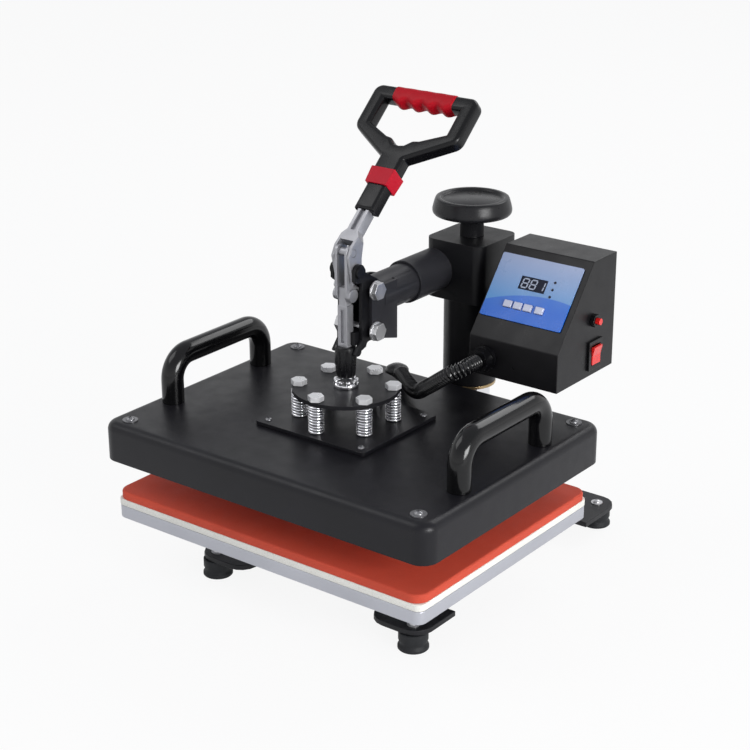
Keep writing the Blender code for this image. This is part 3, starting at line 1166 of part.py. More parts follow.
def make_platen():
    """Make the cover, the heat platen, the mount plate, springs and handles."""
    half = Vector((COVER_WIDTH / 2, COVER_DEPTH / 2, 0.0))
    up = Vector((0.0, 0.0, 1.0))
    cover = block("platen_cover", -half + up * COVER_Z, half + up * COVER_TOP_Z, COVER_CORNER,
                  COVER_EDGE)
    wall = Vector((COVER_WALL, COVER_WALL, 0.0))
    inner_top = COVER_TOP_Z - COVER_WALL
    cut(cover, block("cover_hollow", -half + wall + up * (COVER_Z - OVERRUN),
                     half - wall + up * inner_top, COVER_CORNER - COVER_WALL,
                     COVER_EDGE - COVER_WALL))
    settle(cover, PLATEN, finish("cover_black", (0.022, 0.022, 0.024), 0.55), SMOOTH)

    inset = Vector((PLATEN_SETBACK, PLATEN_SETBACK, 0.0))
    platen = block("heat_platen", -half + inset + up * PLATEN_Z,
                   half - inset + up * (PLATEN_Z + PLATEN_THICKNESS), PLATEN_CORNER)
    boss_bottom = PLATEN_Z + PLATEN_THICKNESS / 2
    for side_x in (-1, 1):
        for side_y in (-1, 1):
            join(platen, rod(f"platen_boss_{side_x}_{side_y}",
                             (side_x * PLATEN_BOSS_X, side_y * PLATEN_BOSS_Y, boss_bottom),
                             inner_top - GAP - boss_bottom, PLATEN_BOSS_RADIUS,
                             sides=SMALL_SIDES))
    settle(platen, PLATEN, finish("platen_aluminium", (0.55, 0.55, 0.56), 0.35, 0.95))

    centre = Vector((AXIS_X, AXIS_Y, MOUNT_PLATE_Z))
    reach = Vector((MOUNT_PLATE_WIDTH / 2, MOUNT_PLATE_DEPTH / 2, 0.0))
    mount = block("mount_plate", centre - reach, centre + reach + up * MOUNT_PLATE_THICKNESS,
                  MOUNT_PLATE_CORNER)
    head_bottom = SPRING_PLATE_TOP_Z + GAP
    for index, (x, y) in enumerate(spring_places()):
        join(mount,
             rod(f"stud_{index}", (x, y, MOUNT_PLATE_Z + MOUNT_PLATE_THICKNESS / 2),
                 head_bottom + GAP - MOUNT_PLATE_Z - MOUNT_PLATE_THICKNESS / 2, STUD_RADIUS,
                 sides=SMALL_SIDES),
             rod(f"stud_head_{index}", (x, y, head_bottom), STUD_HEAD_HEIGHT, STUD_HEAD_RADIUS,
                 sides=HEX_SIDES))
    settle(mount, PLATEN, finish("mount_black", CHARCOAL, 0.5))

    wire_steel = finish("spring_steel", CHROME, 0.25, 1.0)
    for index, (x, y) in enumerate(spring_places()):
        spring = tube(f"spring_{index + 1}", coil_points(x, y), SPRING_WIRE, 1)
        settle(spring, PLATEN, wire_steel, SMOOTH)

    gloss_black = finish("carry_black", BLACK, 0.18)
    for side, side_name in ((-1, "left"), (1, "right")):
        handle = tube(f"carry_handle_{side_name}", carry_points(side), CARRY_RADIUS, 3)
        settle(handle, PLATEN, gloss_black, SMOOTH)

    gland_bottom = COVER_TOP_Z + GAP
    gland_top = gland_bottom + GLAND_HEIGHT
    profile = [(0.0, gland_top), (GLAND_CROWN_RADIUS, gland_top - GLAND_CROWN_DROP),
               (GLAND_SHOULDER_RADIUS, gland_top - GLAND_SHOULDER_DROP),
               (GLAND_RADIUS, gland_top - GLAND_DOME), (GLAND_RADIUS, gland_bottom),
               (0.0, gland_bottom)]
    gland = turned("cable_gland", profile, (GLAND_X, GLAND_Y, 0.0), SMALL_SIDES)
    nozzle = rod("gland_nozzle", (0.0, 0.0, 0.0), NOZZLE_REACH, NOZZLE_RADIUS, "X", SMALL_SIDES)
    nozzle.rotation_euler = (0.0, 0.0, math.atan2(*reversed(nozzle_direction().to_2d())))
    nozzle.location = (GLAND_X, GLAND_Y, COVER_TOP_Z + NOZZLE_LIFT)
    join(gland, nozzle)
    settle(gland, PLATEN, finish("gland_grey", CHARCOAL, 0.4), SMOOTH)


def nozzle_direction():
    """Return the level direction in which the gland's nozzle points."""
    last_x, last_y, _ = HOSE_ROUTE[-1]
    run = Vector((last_x - GLAND_X, last_y - GLAND_Y, 0.0))
    return run.normalized()


def coil_points(x, y):
    """List the points of one spring's helix."""
    radius = SPRING_RADIUS - SPRING_WIRE
    low = MOUNT_PLATE_TOP_Z + GAP + SPRING_WIRE
    high = SPRING_PLATE_Z - GAP - SPRING_WIRE
    count = SPRING_TURNS * SPRING_POINTS_PER_TURN
    points = []
    for index in range(count + 1):
        angle = math.tau * index / SPRING_POINTS_PER_TURN
        height = low + (high - low) * index / count
        points.append((x + radius * math.cos(angle), y + radius * math.sin(angle), height))
    return points


def carry_points(side):
    """List the points of a carry handle's centre line."""
    foot = COVER_TOP_Z + GAP
    top = COVER_TOP_Z + CARRY_HEIGHT
    x = side * CARRY_X
    points = [(x, -CARRY_SPREAD_Y, foot)]
    for centre_y, start in ((-CARRY_SPREAD_Y + CARRY_BEND, math.pi),
                            (CARRY_SPREAD_Y - CARRY_BEND, math.pi / 2)):
        for step in range(CORNER_STEPS + 2):
            angle = start - math.pi / 2 * step / (CORNER_STEPS + 1)
            points.append((x, centre_y + CARRY_BEND * math.cos(angle),
                           top - CARRY_BEND + CARRY_BEND * math.sin(angle)))
    points.append((x, CARRY_SPREAD_Y, foot))
    return points


def box_outline(inset):
    """List the (y, z) side outline of the control box, drawn in by a wall."""
    slope = inset / math.tan((math.pi - SLOPE_TILT) / 2)
    turn = inset * math.tan((math.pi / 2 - SLOPE_TILT) / 2)
    return [
        (BOX_FRONT_Y + inset, BOX_BOTTOM_Z + inset), (BOX_FRONT_Y + inset, BOX_BEND_Z - turn),
        (BOX_TOP_FRONT_Y + slope, BOX_TOP_Z - inset), (BOX_BACK_Y - inset, BOX_TOP_Z - inset),
        (BOX_BACK_Y - inset, BOX_BOTTOM_Z + inset),
    ]


def make_control_box():
    """Make the control box, its panel, keys, switches, sockets and inner board."""
    shell = side_plate("box_shell", box_outline(0.0), BOX_LEFT_X, BOX_RIGHT_X)
    hollow = side_plate("box_hollow", box_outline(BOX_WALL), BOX_LEFT_X + BOX_WALL,
                        BOX_RIGHT_X - BOX_WALL)
    lip = BOX_WALL + GAP
    back_hole = block("box_back_hole",
                      (BOX_LEFT_X + BOX_WALL, BOX_BACK_Y - 2 * BOX_WALL, BOX_BOTTOM_Z + BOX_WALL),
                      (BOX_RIGHT_X - BOX_WALL, BOX_BACK_Y + OVERRUN, BOX_TOP_Z - BOX_WALL))
    cut(shell, hollow, back_hole)
    cut(shell, block("bezel_hole", *bezel_box(BEZEL_RIM - GAP, BOX_WALL + OVERRUN, OVERRUN)),
        rod("reset_hole", (BOX_RIGHT_X - BOX_WALL - OVERRUN, RESET_Y, RESET_Z),
            BOX_WALL + 2 * OVERRUN, RESET_BARREL_RADIUS + GAP, "X", SMALL_SIDES))
    for index, key_x in enumerate(KEY_X):
        hole = key_block(f"shell_key_hole_{index}", key_x, GAP, -BOX_WALL - OVERRUN, OVERRUN)
        cut(shell, seat_on_slope(hole))
    settle(shell, HEAD, finish("box_black", BLACK, 0.4))

    back = block("box_back", (BOX_LEFT_X + lip, BOX_BACK_Y - BOX_WALL, BOX_BOTTOM_Z + lip),
                 (BOX_RIGHT_X - lip, BOX_BACK_Y, BOX_TOP_Z - lip))
    half = Vector((INLET_WIDTH / 2 - INLET_WALL, 0.0, INLET_HEIGHT / 2 - INLET_WALL))
    inlet_centre = Vector((INLET_X, BOX_BACK_Y, INLET_Z))
    through = Vector((0.0, OVERRUN, 0.0))
    cut(back, block("back_inlet_hole", inlet_centre - half - through,
                    inlet_centre + half + through))
    settle(back, HEAD, finish("back_black", BLACK, 0.5))
    make_inlet(inlet_centre, half)
    make_panel()
    make_switches()
    make_connector()
    make_circuit()
    make_box_arm()


def make_inlet(centre, half):
    """Make the mains inlet in the back cover."""
    flange = Vector((INLET_WIDTH / 2, 0.0, INLET_HEIGHT / 2))
    flange_low = centre - flange + Vector((0.0, GAP, 0.0))
    flange_high = centre + flange + Vector((0.0, GAP + INLET_FLANGE, 0.0))
    inlet = block("mains_inlet", flange_low, flange_high)
    barrel = half - Vector((GAP, 0.0, GAP))
    depth = Vector((0.0, INLET_DEPTH, 0.0))
    join(inlet, block("inlet_barrel", centre - barrel - depth,
                      centre + barrel + Vector((0.0, GAP + INLET_FLANGE / 2, 0.0))))
    socket = Vector((INLET_SOCKET_WIDTH / 2, 0.0, INLET_SOCKET_HEIGHT / 2))
    floor = Vector((0.0, INLET_DEPTH - INLET_WALL, 0.0))
    cut(inlet, block("inlet_socket", centre - socket - floor,
                     centre + socket + Vector((0.0, INLET_FLANGE + OVERRUN, 0.0))))
    settle(inlet, HEAD, finish("inlet_black", BLACK, 0.35))


def bezel_box(draw_in, inward, outward):
    """Return the corners of a box on the right wall at the rocker's place."""
    half_y = BEZEL_WIDTH / 2 - draw_in
    half_z = BEZEL_LENGTH / 2 - draw_in
    return ((BOX_RIGHT_X - inward, BEZEL_Y - half_y, BEZEL_Z - half_z),
            (BOX_RIGHT_X + outward, BEZEL_Y + half_y, BEZEL_Z + half_z))


def key_block(name, key_x, clearance, low, high):
    """Make a key-sized block in the slope's own frame."""
    half_x = KEY_WIDTH / 2 + clearance
    half_s = KEY_LENGTH / 2 + clearance
    return block(name, (key_x - half_x, -KEY_DISTANCE - half_s, low),
                 (key_x + half_x, -KEY_DISTANCE + half_s, high))


def seat_on_slope(item):
    """Move a piece from the slope's own frame into the layout."""
    item.data.transform(Matrix.Translation((0.0, BOX_TOP_FRONT_Y, BOX_TOP_Z))
                        @ Matrix.Rotation(SLOPE_TILT, 4, "X"))
    return item


def make_panel():
    """Make the display panel on the slope and its four keys."""
    panel = block("display_panel", (PANEL_LEFT_X, -PANEL_END, GAP),
                  (PANEL_RIGHT_X, -PANEL_START, GAP + PANEL_THICKNESS), PANEL_CORNER)
    surface = GAP + PANEL_THICKNESS
    cut(panel, block("window_recess", (WINDOW_LEFT_X, -WINDOW_END, surface - WINDOW_RECESS),
                     (WINDOW_RIGHT_X, -WINDOW_START, surface + OVERRUN)))
    for index, key_x in enumerate(KEY_X):
        cut(panel, key_block(f"panel_key_hole_{index}", key_x, GAP, -OVERRUN, surface + OVERRUN))
    settle(panel, SLOPE, finish("panel_blue", (0.09, 0.33, 0.78), 0.25), local=True)
    key_white = finish("key_white", (0.72, 0.78, 0.86), 0.4)
    for index, key_x in enumerate(KEY_X):
        carrier = body(f"key_{index + 1}_body", slope_point(key_x, KEY_DISTANCE), HEAD, SLOPE_TILT)
        half_x = KEY_WIDTH / 2
        half_s = KEY_LENGTH / 2
        key = block(f"panel_key_{index + 1}", (-half_x, -half_s, -KEY_DEPTH),
                    (half_x, half_s, surface + KEY_STANDOUT))
        settle(key, carrier, key_white, local=True)


def make_switches():
    """Make the mains rocker with its bezel and the reset button with its barrel."""
    bezel = block("rocker_bezel", *bezel_box(0.0, -GAP, GAP + BEZEL_STANDOUT))
    join(bezel, block("bezel_barrel", *bezel_box(BEZEL_RIM, BEZEL_DEPTH, GAP + BEZEL_STANDOUT / 2)))
    opening = BEZEL_RIM + BEZEL_WALL
    cut(bezel, block("bezel_mouth", *bezel_box(opening, BEZEL_DEPTH - BEZEL_WALL, OVERRUN)))
    settle(bezel, HEAD, finish("bezel_black", BLACK, 0.4))

    clearance = opening + GAP
    half_y = BEZEL_WIDTH / 2 - clearance
    seat_x = BOX_RIGHT_X + GAP + BEZEL_STANDOUT / 2
    carrier = body("rocker_body", (seat_x, BEZEL_Y, BEZEL_Z), HEAD)
    half_z = BEZEL_LENGTH / 2 - clearance - GAP
    rocker = plate("rocker", [
        (-ROCKER_FACE, -half_z / 2), (0.0, -half_z + GAP), (ROCKER_FACE - ROCKER_SAG, -half_z + GAP),
        (ROCKER_FACE - 2 * ROCKER_SAG, 0.0), (ROCKER_FACE - ROCKER_SAG, half_z - GAP),
        (0.0, half_z - GAP), (-ROCKER_FACE, half_z / 2),
    ], 2 * half_y)
    rocker.data.transform(Matrix(((1, 0, 0, 0), (0, 0, 1, 0), (0, 1, 0, 0), (0, 0, 0, 1))))
    fix_normals(rocker)
    rocker.rotation_euler = (0.0, ROCKER_TILT, 0.0)
    settle(rocker, carrier, finish("rocker_red", (0.75, 0.012, 0.014), 0.2), local=True)

    barrel_start = BOX_RIGHT_X - RESET_BARREL_LENGTH
    nut_end = BOX_RIGHT_X + GAP + RESET_NUT_HEIGHT
    housing = rod("reset_housing", (barrel_start, RESET_Y, RESET_Z), nut_end - barrel_start,
                  RESET_BARREL_RADIUS, "X", SMALL_SIDES)
    join(housing, rod("reset_nut", (BOX_RIGHT_X + GAP, RESET_Y, RESET_Z), RESET_NUT_HEIGHT,
                      RESET_NUT_RADIUS, "X", HEX_SIDES))
    button_start = nut_end - RESET_BUTTON_DEPTH
    cut(housing, rod("reset_bore", (button_start - RESET_TRAVEL, RESET_Y, RESET_Z),
                     RESET_BUTTON_DEPTH + RESET_TRAVEL + OVERRUN, RESET_BUTTON_RADIUS + GAP,
                     "X", SMALL_SIDES))
    settle(housing, HEAD, finish("reset_black", BLACK, 0.35), SMOOTH)
    carrier = body("reset_body", (nut_end, RESET_Y, RESET_Z), HEAD)
    button = rod("reset_button", (button_start, RESET_Y, RESET_Z),
                 RESET_BUTTON_DEPTH + RESET_BUTTON_STANDOUT, RESET_BUTTON_RADIUS, "X", SMALL_SIDES)
    settle(button, carrier, finish("reset_red", (0.70, 0.02, 0.02), 0.3), SMOOTH)


def fix_normals(item):
    """Turn a mesh's faces outward after a mirroring transform."""
    shape = bmesh.new()
    shape.from_mesh(item.data)
    bmesh.ops.recalc_face_normals(shape, faces=shape.faces)
    shape.to_mesh(item.data)
    shape.free()


def make_connector():
    """Make the round connector on the box's front and the hose to the gland."""
    front = BOX_FRONT_Y - GAP
    flange_front = front - CONNECTOR_FLANGE
    connector_end = front - CONNECTOR_LENGTH
    connector = rod("box_connector", (COLLAR_X, flange_front, COLLAR_Z), CONNECTOR_FLANGE,
                    CONNECTOR_FLANGE_RADIUS, "Y", SMALL_SIDES)
    join(connector, rod("connector_barrel", (COLLAR_X, connector_end, COLLAR_Z),
                        CONNECTOR_LENGTH - CONNECTOR_FLANGE / 2, CONNECTOR_RADIUS, "Y",
                        SMALL_SIDES))
    settle(connector, HEAD, finish("connector_black", BLACK, 0.4), SMOOTH)

    points, radii = hose_points(connector_end - GAP)
    hose = tube("heater_hose", points, HOSE_RIB_RADIUS, 2, radii)
    ends = [points[0] + (points[0] - points[1]).normalized() * OVERRUN, *points[1:-1],
            points[-1] + (points[-1] - points[-2]).normalized() * OVERRUN]
    plain = ends[:1] + ends[2:-2:2] + ends[-1:]
    cut(hose, tube("hose_bore", plain, HOSE_BORE_RADIUS, 2))
    settle(hose, ROD, finish("hose_black", BLACK, 0.4), SMOOTH)


def hose_points(start_y):
    """Work out the hose's rib points along a smooth curve through its route."""
    direction = nozzle_direction()
    last_z = COVER_TOP_Z + NOZZLE_LIFT
    mouth = Vector((GLAND_X, GLAND_Y, last_z)) + direction * (NOZZLE_REACH + GAP)
    run_in = mouth + direction * 2 * HOSE_RIB_RADIUS
    start = Vector((COLLAR_X, start_y, COLLAR_Z))
    run_out = start - Vector((0.0, 2 * HOSE_RIB_RADIUS, 0.0))
    route = [Vector((x, y, COVER_TOP_Z + rise)) for x, y, rise in HOSE_ROUTE]
    knots = [start, run_out, *route, run_in, mouth]
    fine = [start]
    for index in range(1, len(knots) - 2):
        before, here, there, after = knots[index - 1:index + 3]
        for step in range(CURVE_STEPS):
            fine.append(spline_point(before, here, there, after, step / CURVE_STEPS))
    fine += [run_in, mouth]
    lengths = [0.0]
    for first, second in zip(fine, fine[1:]):
        lengths.append(lengths[-1] + (second - first).length)
    ribs = round(lengths[-1] / HOSE_RIB_PITCH)
    points = []
    radii = []
    for index in range(2 * ribs + 1):
        points.append(point_at(fine, lengths, lengths[-1] * index / (2 * ribs)))
        radii.append(HOSE_VALLEY_RADIUS if index % 2 == 0 else HOSE_RIB_RADIUS)
    return points, radii


def spline_point(before, here, there, after, share):
    """Return a point of the Catmull-Rom curve between here and there."""
    square = share * share
    cube = square * share
    return (2 * here + (there - before) * share
            + (2 * before - 5 * here + 4 * there - after) * square
            + (3 * here - before - 3 * there + after) * cube) / 2


def point_at(points, lengths, distance):
    """Return the point at a distance along a polyline."""
    for index in range(len(points) - 1):
        if lengths[index + 1] >= distance:
            span = lengths[index + 1] - lengths[index]
            share = (distance - lengths[index]) / span
            return points[index].lerp(points[index + 1], share)
    return points[-1].copy()


def make_circuit():
    """Make the controller board inside the box, on four pillars."""
    floor = BOX_BOTTOM_Z + BOX_WALL + GAP
    centre = Vector(((BOX_LEFT_X + BOX_RIGHT_X) / 2, (BOX_FRONT_Y + BOX_BACK_Y) / 2, floor))
    half = Vector((BOARD_LENGTH / 2, BOARD_DEPTH / 2, 0.0))
    board_z = Vector((0.0, 0.0, CIRCUIT_PILLAR_HEIGHT))
    board_top = Vector((0.0, 0.0, CIRCUIT_PILLAR_HEIGHT + CIRCUIT_THICKNESS))
    board = block("controller_board", centre - half + board_z, centre + half + board_top)
    for side_x in (-1, 1):
        for side_y in (-1, 1):
            place = centre + Vector((side_x * (half.x - CIRCUIT_PILLAR_INSET),
                                     side_y * (half.y - CIRCUIT_PILLAR_INSET), 0.0))
            join(board, rod(f"board_pillar_{side_x}_{side_y}", place,
                            CIRCUIT_PILLAR_HEIGHT + CIRCUIT_THICKNESS / 2, CIRCUIT_PILLAR_RADIUS,
                            sides=SMALL_SIDES))
    core = Vector((TRANSFORMER_SIZE / 2, TRANSFORMER_SIZE / 2, 0.0))
    core_top = Vector((0.0, 0.0, CIRCUIT_PILLAR_HEIGHT + TRANSFORMER_HEIGHT))
    join(board, block("transformer", centre - core + board_z, centre + core + core_top))
    settle(board, HEAD, finish("board_green", (0.03, 0.20, 0.08), 0.5))


def make_box_arm():
    """Make the short bracket that carries the box on the column sleeve."""
    half_y = BOX_ARM_DEPTH / 2
    half_z = BOX_ARM_HEIGHT / 2
    seat_z = HEAD_BOTTOM_Z - GAP - half_z
    arm = block("box_bracket", (COLUMN_X, COLUMN_Y - half_y, seat_z - half_z),
                (BOX_LEFT_X - GAP, COLUMN_Y + half_y, seat_z + half_z))
    cut(arm, rod("bracket_seat", (COLUMN_X, COLUMN_Y, seat_z - half_z - OVERRUN),
                 BOX_ARM_HEIGHT + 2 * OVERRUN, SLEEVE_RADIUS + GAP))
    settle(arm, HEAD, finish("box_arm_black", BLACK, 0.5))


make_base()
make_column_head()
make_arm()
make_toggle()
make_lever()
make_platen()
make_control_box()
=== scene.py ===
"""Looks of a swing-away heat press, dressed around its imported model.

Lengths are metres in the model's own frame. Each sub-assembly is a class that
builds or refines its pieces, gives them their finish and sets them on a body.
"""
from __future__ import annotations

import json
import logging
import math
from dataclasses import dataclass, field
from enum import Enum
from typing import Callable, Iterable, Sequence

import bmesh
import bpy
from mathutils import Matrix, Vector

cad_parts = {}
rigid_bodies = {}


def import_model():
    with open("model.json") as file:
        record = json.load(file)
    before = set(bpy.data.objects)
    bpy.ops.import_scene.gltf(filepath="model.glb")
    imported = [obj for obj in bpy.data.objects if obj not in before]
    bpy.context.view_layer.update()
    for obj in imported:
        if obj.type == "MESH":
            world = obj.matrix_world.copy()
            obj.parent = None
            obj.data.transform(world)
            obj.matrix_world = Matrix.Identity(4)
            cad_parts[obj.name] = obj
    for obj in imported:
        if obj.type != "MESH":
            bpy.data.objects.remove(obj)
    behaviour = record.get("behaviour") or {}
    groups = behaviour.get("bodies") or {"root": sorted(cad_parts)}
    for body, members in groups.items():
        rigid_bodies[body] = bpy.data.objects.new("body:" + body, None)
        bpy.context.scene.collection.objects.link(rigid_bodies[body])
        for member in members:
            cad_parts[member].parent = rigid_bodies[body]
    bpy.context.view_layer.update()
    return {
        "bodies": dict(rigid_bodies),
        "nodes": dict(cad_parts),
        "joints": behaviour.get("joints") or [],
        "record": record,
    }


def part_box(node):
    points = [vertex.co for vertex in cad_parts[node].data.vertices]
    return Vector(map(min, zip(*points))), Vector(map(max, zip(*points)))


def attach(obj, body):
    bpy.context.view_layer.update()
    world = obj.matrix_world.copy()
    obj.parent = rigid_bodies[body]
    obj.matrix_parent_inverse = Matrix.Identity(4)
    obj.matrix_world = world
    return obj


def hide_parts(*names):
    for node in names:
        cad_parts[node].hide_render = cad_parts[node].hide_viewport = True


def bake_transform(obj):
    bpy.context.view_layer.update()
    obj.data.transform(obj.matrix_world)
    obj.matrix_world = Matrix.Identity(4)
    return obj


LOG = logging.getLogger("heat_press")
Colour = tuple[float, float, float]
Place = tuple[float, float, float]
MERGE_DISTANCE = 0.000002
WELD_DISTANCE = 0.00001
LEEWAY = 0.0001
SHARP_ANGLE = math.radians(36)
BEVEL_ANGLE = math.radians(30)
FLAT_ANGLE = math.radians(0.5)
NOISE_RANGE = (0.3, 0.7)
WHITE = (1.0, 1.0, 1.0, 1.0)


class Body(str, Enum):
    """The bodies of the press that pieces are set on by name."""

    BASE = "base"
    HEAD = "head"
    KNOB = "knob"
    LEVER = "lever"
    ROD = "rod"
    PLATEN = "platen"


class Run(Enum):
    """The axis that a turned piece or a screw runs along."""

    UP = "up"
    DOWN = "down"
    RIGHT = "right"
    BACK = "back"

    def matrix(self) -> Matrix:
        """Return the turn that brings the local Z axis onto this axis."""
        turns = {
            Run.UP: Matrix.Identity(4),
            Run.DOWN: Matrix.Rotation(math.pi, 4, "X"),
            Run.RIGHT: Matrix.Rotation(math.pi / 2, 4, "Y"),
            Run.BACK: Matrix.Rotation(-math.pi / 2, 4, "X"),
        }
        return turns[self]


# ---- node trees and finishes


class Tree:
    """A short hand for building shader and geometry node trees."""

    def __init__(self, tree: bpy.types.NodeTree) -> None:
        """Keep the tree that nodes are added to."""
        self.tree = tree

    def add(self, kind: str, inputs: dict[str | int, object] | None = None,
            **settings: object) -> bpy.types.Node:
        """Add a node.

        Args:
            kind: The node's type name.
            inputs: Values of its unlinked sockets, or the sockets to link to them.
            settings: Properties of the node.

        Returns:
            The new node.
        """
        node = self.tree.nodes.new(kind)
        for key, value in settings.items():
            setattr(node, key, value)
        for key, value in (inputs or {}).items():
            if isinstance(value, bpy.types.NodeSocket):
                self.tree.links.new(value, node.inputs[key])
            else:
                node.inputs[key].default_value = value
        return node

    def link(self, source: bpy.types.NodeSocket, target: bpy.types.NodeSocket) -> None:
        """Link two sockets."""
        self.tree.links.new(source, target)

    def sum(self, kind: str, first: object, second: object = 0.0) -> bpy.types.NodeSocket:
        """Return the result of a Math node on two values or sockets."""
        return self.add("ShaderNodeMath", {0: first, 1: second}, operation=kind).outputs[0]

    def noise(self, where: bpy.types.NodeSocket, scale: float,
              detail: float = 3.0) -> bpy.types.NodeSocket:
        """Return the value of a noise at a place."""
        node = self.add("ShaderNodeTexNoise",
                        {"Vector": where, "Scale": scale, "Detail": detail})
        return node.outputs[0]

    def spread(self, value: bpy.types.NodeSocket, low: float,
               high: float) -> bpy.types.NodeSocket:
        """Return a noise value mapped onto a range."""
        return self.ramp(value, *NOISE_RANGE, low, high)

    def ramp(self, value: bpy.types.NodeSocket, start: float, end: float, low: float = 0.0,
             high: float = 1.0) -> bpy.types.NodeSocket:
        """Map a range of values onto another, and hold its ends.

        Args:
            value: The value.
            start: The start of its range.
            end: The end of its range.
            low: What the start is mapped onto.
            high: What the end is mapped onto.

        Returns:
            The mapped value.
        """
        return self.add("ShaderNodeMapRange", {
            "Value": value, "From Min": start, "From Max": end,
            "To Min": low, "To Max": high}).outputs[0]

    def blend(self, share: object, first: object, second: object) -> bpy.types.NodeSocket:
        """Return the mix of two colours."""
        node = self.add("ShaderNodeMix", {0: share, 6: first, 7: second}, data_type="RGBA")
        return node.outputs[2]

    def raised(self, height: object) -> bpy.types.NodeSocket:
        """Return an offset straight up by a height."""
        return self.add("ShaderNodeCombineXYZ", {2: height}).outputs[0]

    def moved(self, shape: bpy.types.NodeSocket, **change: object) -> bpy.types.NodeSocket:
        """Return a shape with its Translation, Rotation or Scale changed."""
        return self.add("GeometryNodeTransform", {"Geometry": shape, **change}).outputs[0]


def opaque(colour: Colour, gain: float = 1.0) -> tuple[float, float, float, float]:
    """Return a colour with its alpha, scaled by a gain."""
    return (colour[0] * gain, colour[1] * gain, colour[2] * gain, 1.0)


@dataclass(frozen=True)
class Finish:
    """A surface finish: mottled colour, uneven gloss and a fine relief.

    Attributes:
        name: The finish's name.
        colour: The base colour.
        roughness: The middle of its roughness.
        metallic: How metallic it is.
        mottle: The share by which the colour varies.
        gloss_spread: The range by which the roughness varies.
        grain: The scale of the fine relief.
        relief: The strength of the fine relief.
        stretch: How far the relief is drawn out along each axis.
        specular: The strength of the plain reflection.
        coat: The weight of a clear coat.
        coat_roughness: The coat's own roughness.
        patch_scale: The scale of the colour's broad patches.
        cloud_scale: The scale on which the gloss varies.
        relief_height: The height of the fine relief.
    """

    name: str
    colour: Colour
    roughness: float
    metallic: float = 0.0
    mottle: float = 0.12
    gloss_spread: float = 0.10
    grain: float = 900.0
    relief: float = 0.12
    stretch: Place = (1.0, 1.0, 1.0)
    specular: float = 0.5
    coat: float = 0.0
    coat_roughness: float = 0.12
    patch_scale: float = 14.0
    cloud_scale: float = 55.0
    relief_height: float = 0.0004

    def build(self) -> bpy.types.Material:
        """Return the finish as a material."""
        material = bpy.data.materials.new(self.name)
        material.use_nodes = True
        tree = Tree(material.node_tree)
        shader = material.node_tree.nodes["Principled BSDF"]
        shader.inputs["Metallic"].default_value = self.metallic
        shader.inputs["Specular IOR Level"].default_value = self.specular
        shader.inputs["Coat Weight"].default_value = self.coat
        shader.inputs["Coat Roughness"].default_value = self.coat_roughness
        where = tree.add("ShaderNodeTexCoord").outputs["Object"]
        tree.link(self.tint(tree, where), shader.inputs["Base Color"])
        self.relieve(tree, shader, where)
        return material

    def tint(self, tree: Tree, where: bpy.types.NodeSocket) -> bpy.types.NodeSocket:
        """Return the colour at a place, mottled in broad patches."""
        share = tree.spread(tree.noise(where, self.patch_scale), 0.0, 1.0)
        return tree.blend(share, opaque(self.colour, 1.0 - self.mottle),
                          opaque(self.colour, 1.0 + self.mottle))

    def relieve(self, tree: Tree, shader: bpy.types.Node,
                where: bpy.types.NodeSocket) -> None:
        """Link the uneven gloss and the fine relief.

        Args:
            tree: The material's tree.
            shader: Its Principled node.
            where: The Object coordinates.
        """
        cloud = tree.noise(where, self.cloud_scale)
        gloss = tree.spread(cloud, self.roughness - self.gloss_spread / 2,
                            self.roughness + self.gloss_spread / 2)
        tree.link(gloss, shader.inputs["Roughness"])
        drawn = tree.add("ShaderNodeMapping", {"Vector": where, "Scale": self.stretch})
        fine = tree.noise(drawn.outputs[0], self.grain, 4.0)
        bump = tree.add("ShaderNodeBump", {"Height": fine, "Strength": self.relief,
                                           "Distance": self.relief_height})
        tree.link(bump.outputs[0], shader.inputs["Normal"])


@dataclass(frozen=True)
class SpeckledFinish(Finish):
    """A finish with small specks of a second colour, such as pressed board.

    Attributes:
        speck: The colour of the specks.
        speck_scale: How fine the specks are.
        speck_share: How much they cover.
        speck_edge: The noise value at which a speck begins, less what the share takes off.
        speck_fade: The range over which it fades in.
    """

    patch_scale: float = 9.0
    speck: Colour = (0.5, 0.5, 0.5)
    speck_scale: float = 700.0
    speck_share: float = 0.3
    speck_edge: float = 0.62
    speck_fade: float = 0.06

    def tint(self, tree: Tree, where: bpy.types.NodeSocket) -> bpy.types.NodeSocket:
        """Return the speckled colour at a place."""
        ground = super().tint(tree, where)
        edge = self.speck_edge - self.speck_share * 0.2
        dots = tree.ramp(tree.noise(where, self.speck_scale, 2.0), edge, edge + self.speck_fade)
        share = tree.sum("MULTIPLY", dots, self.speck_share)
        return tree.blend(share, ground, opaque(self.speck))


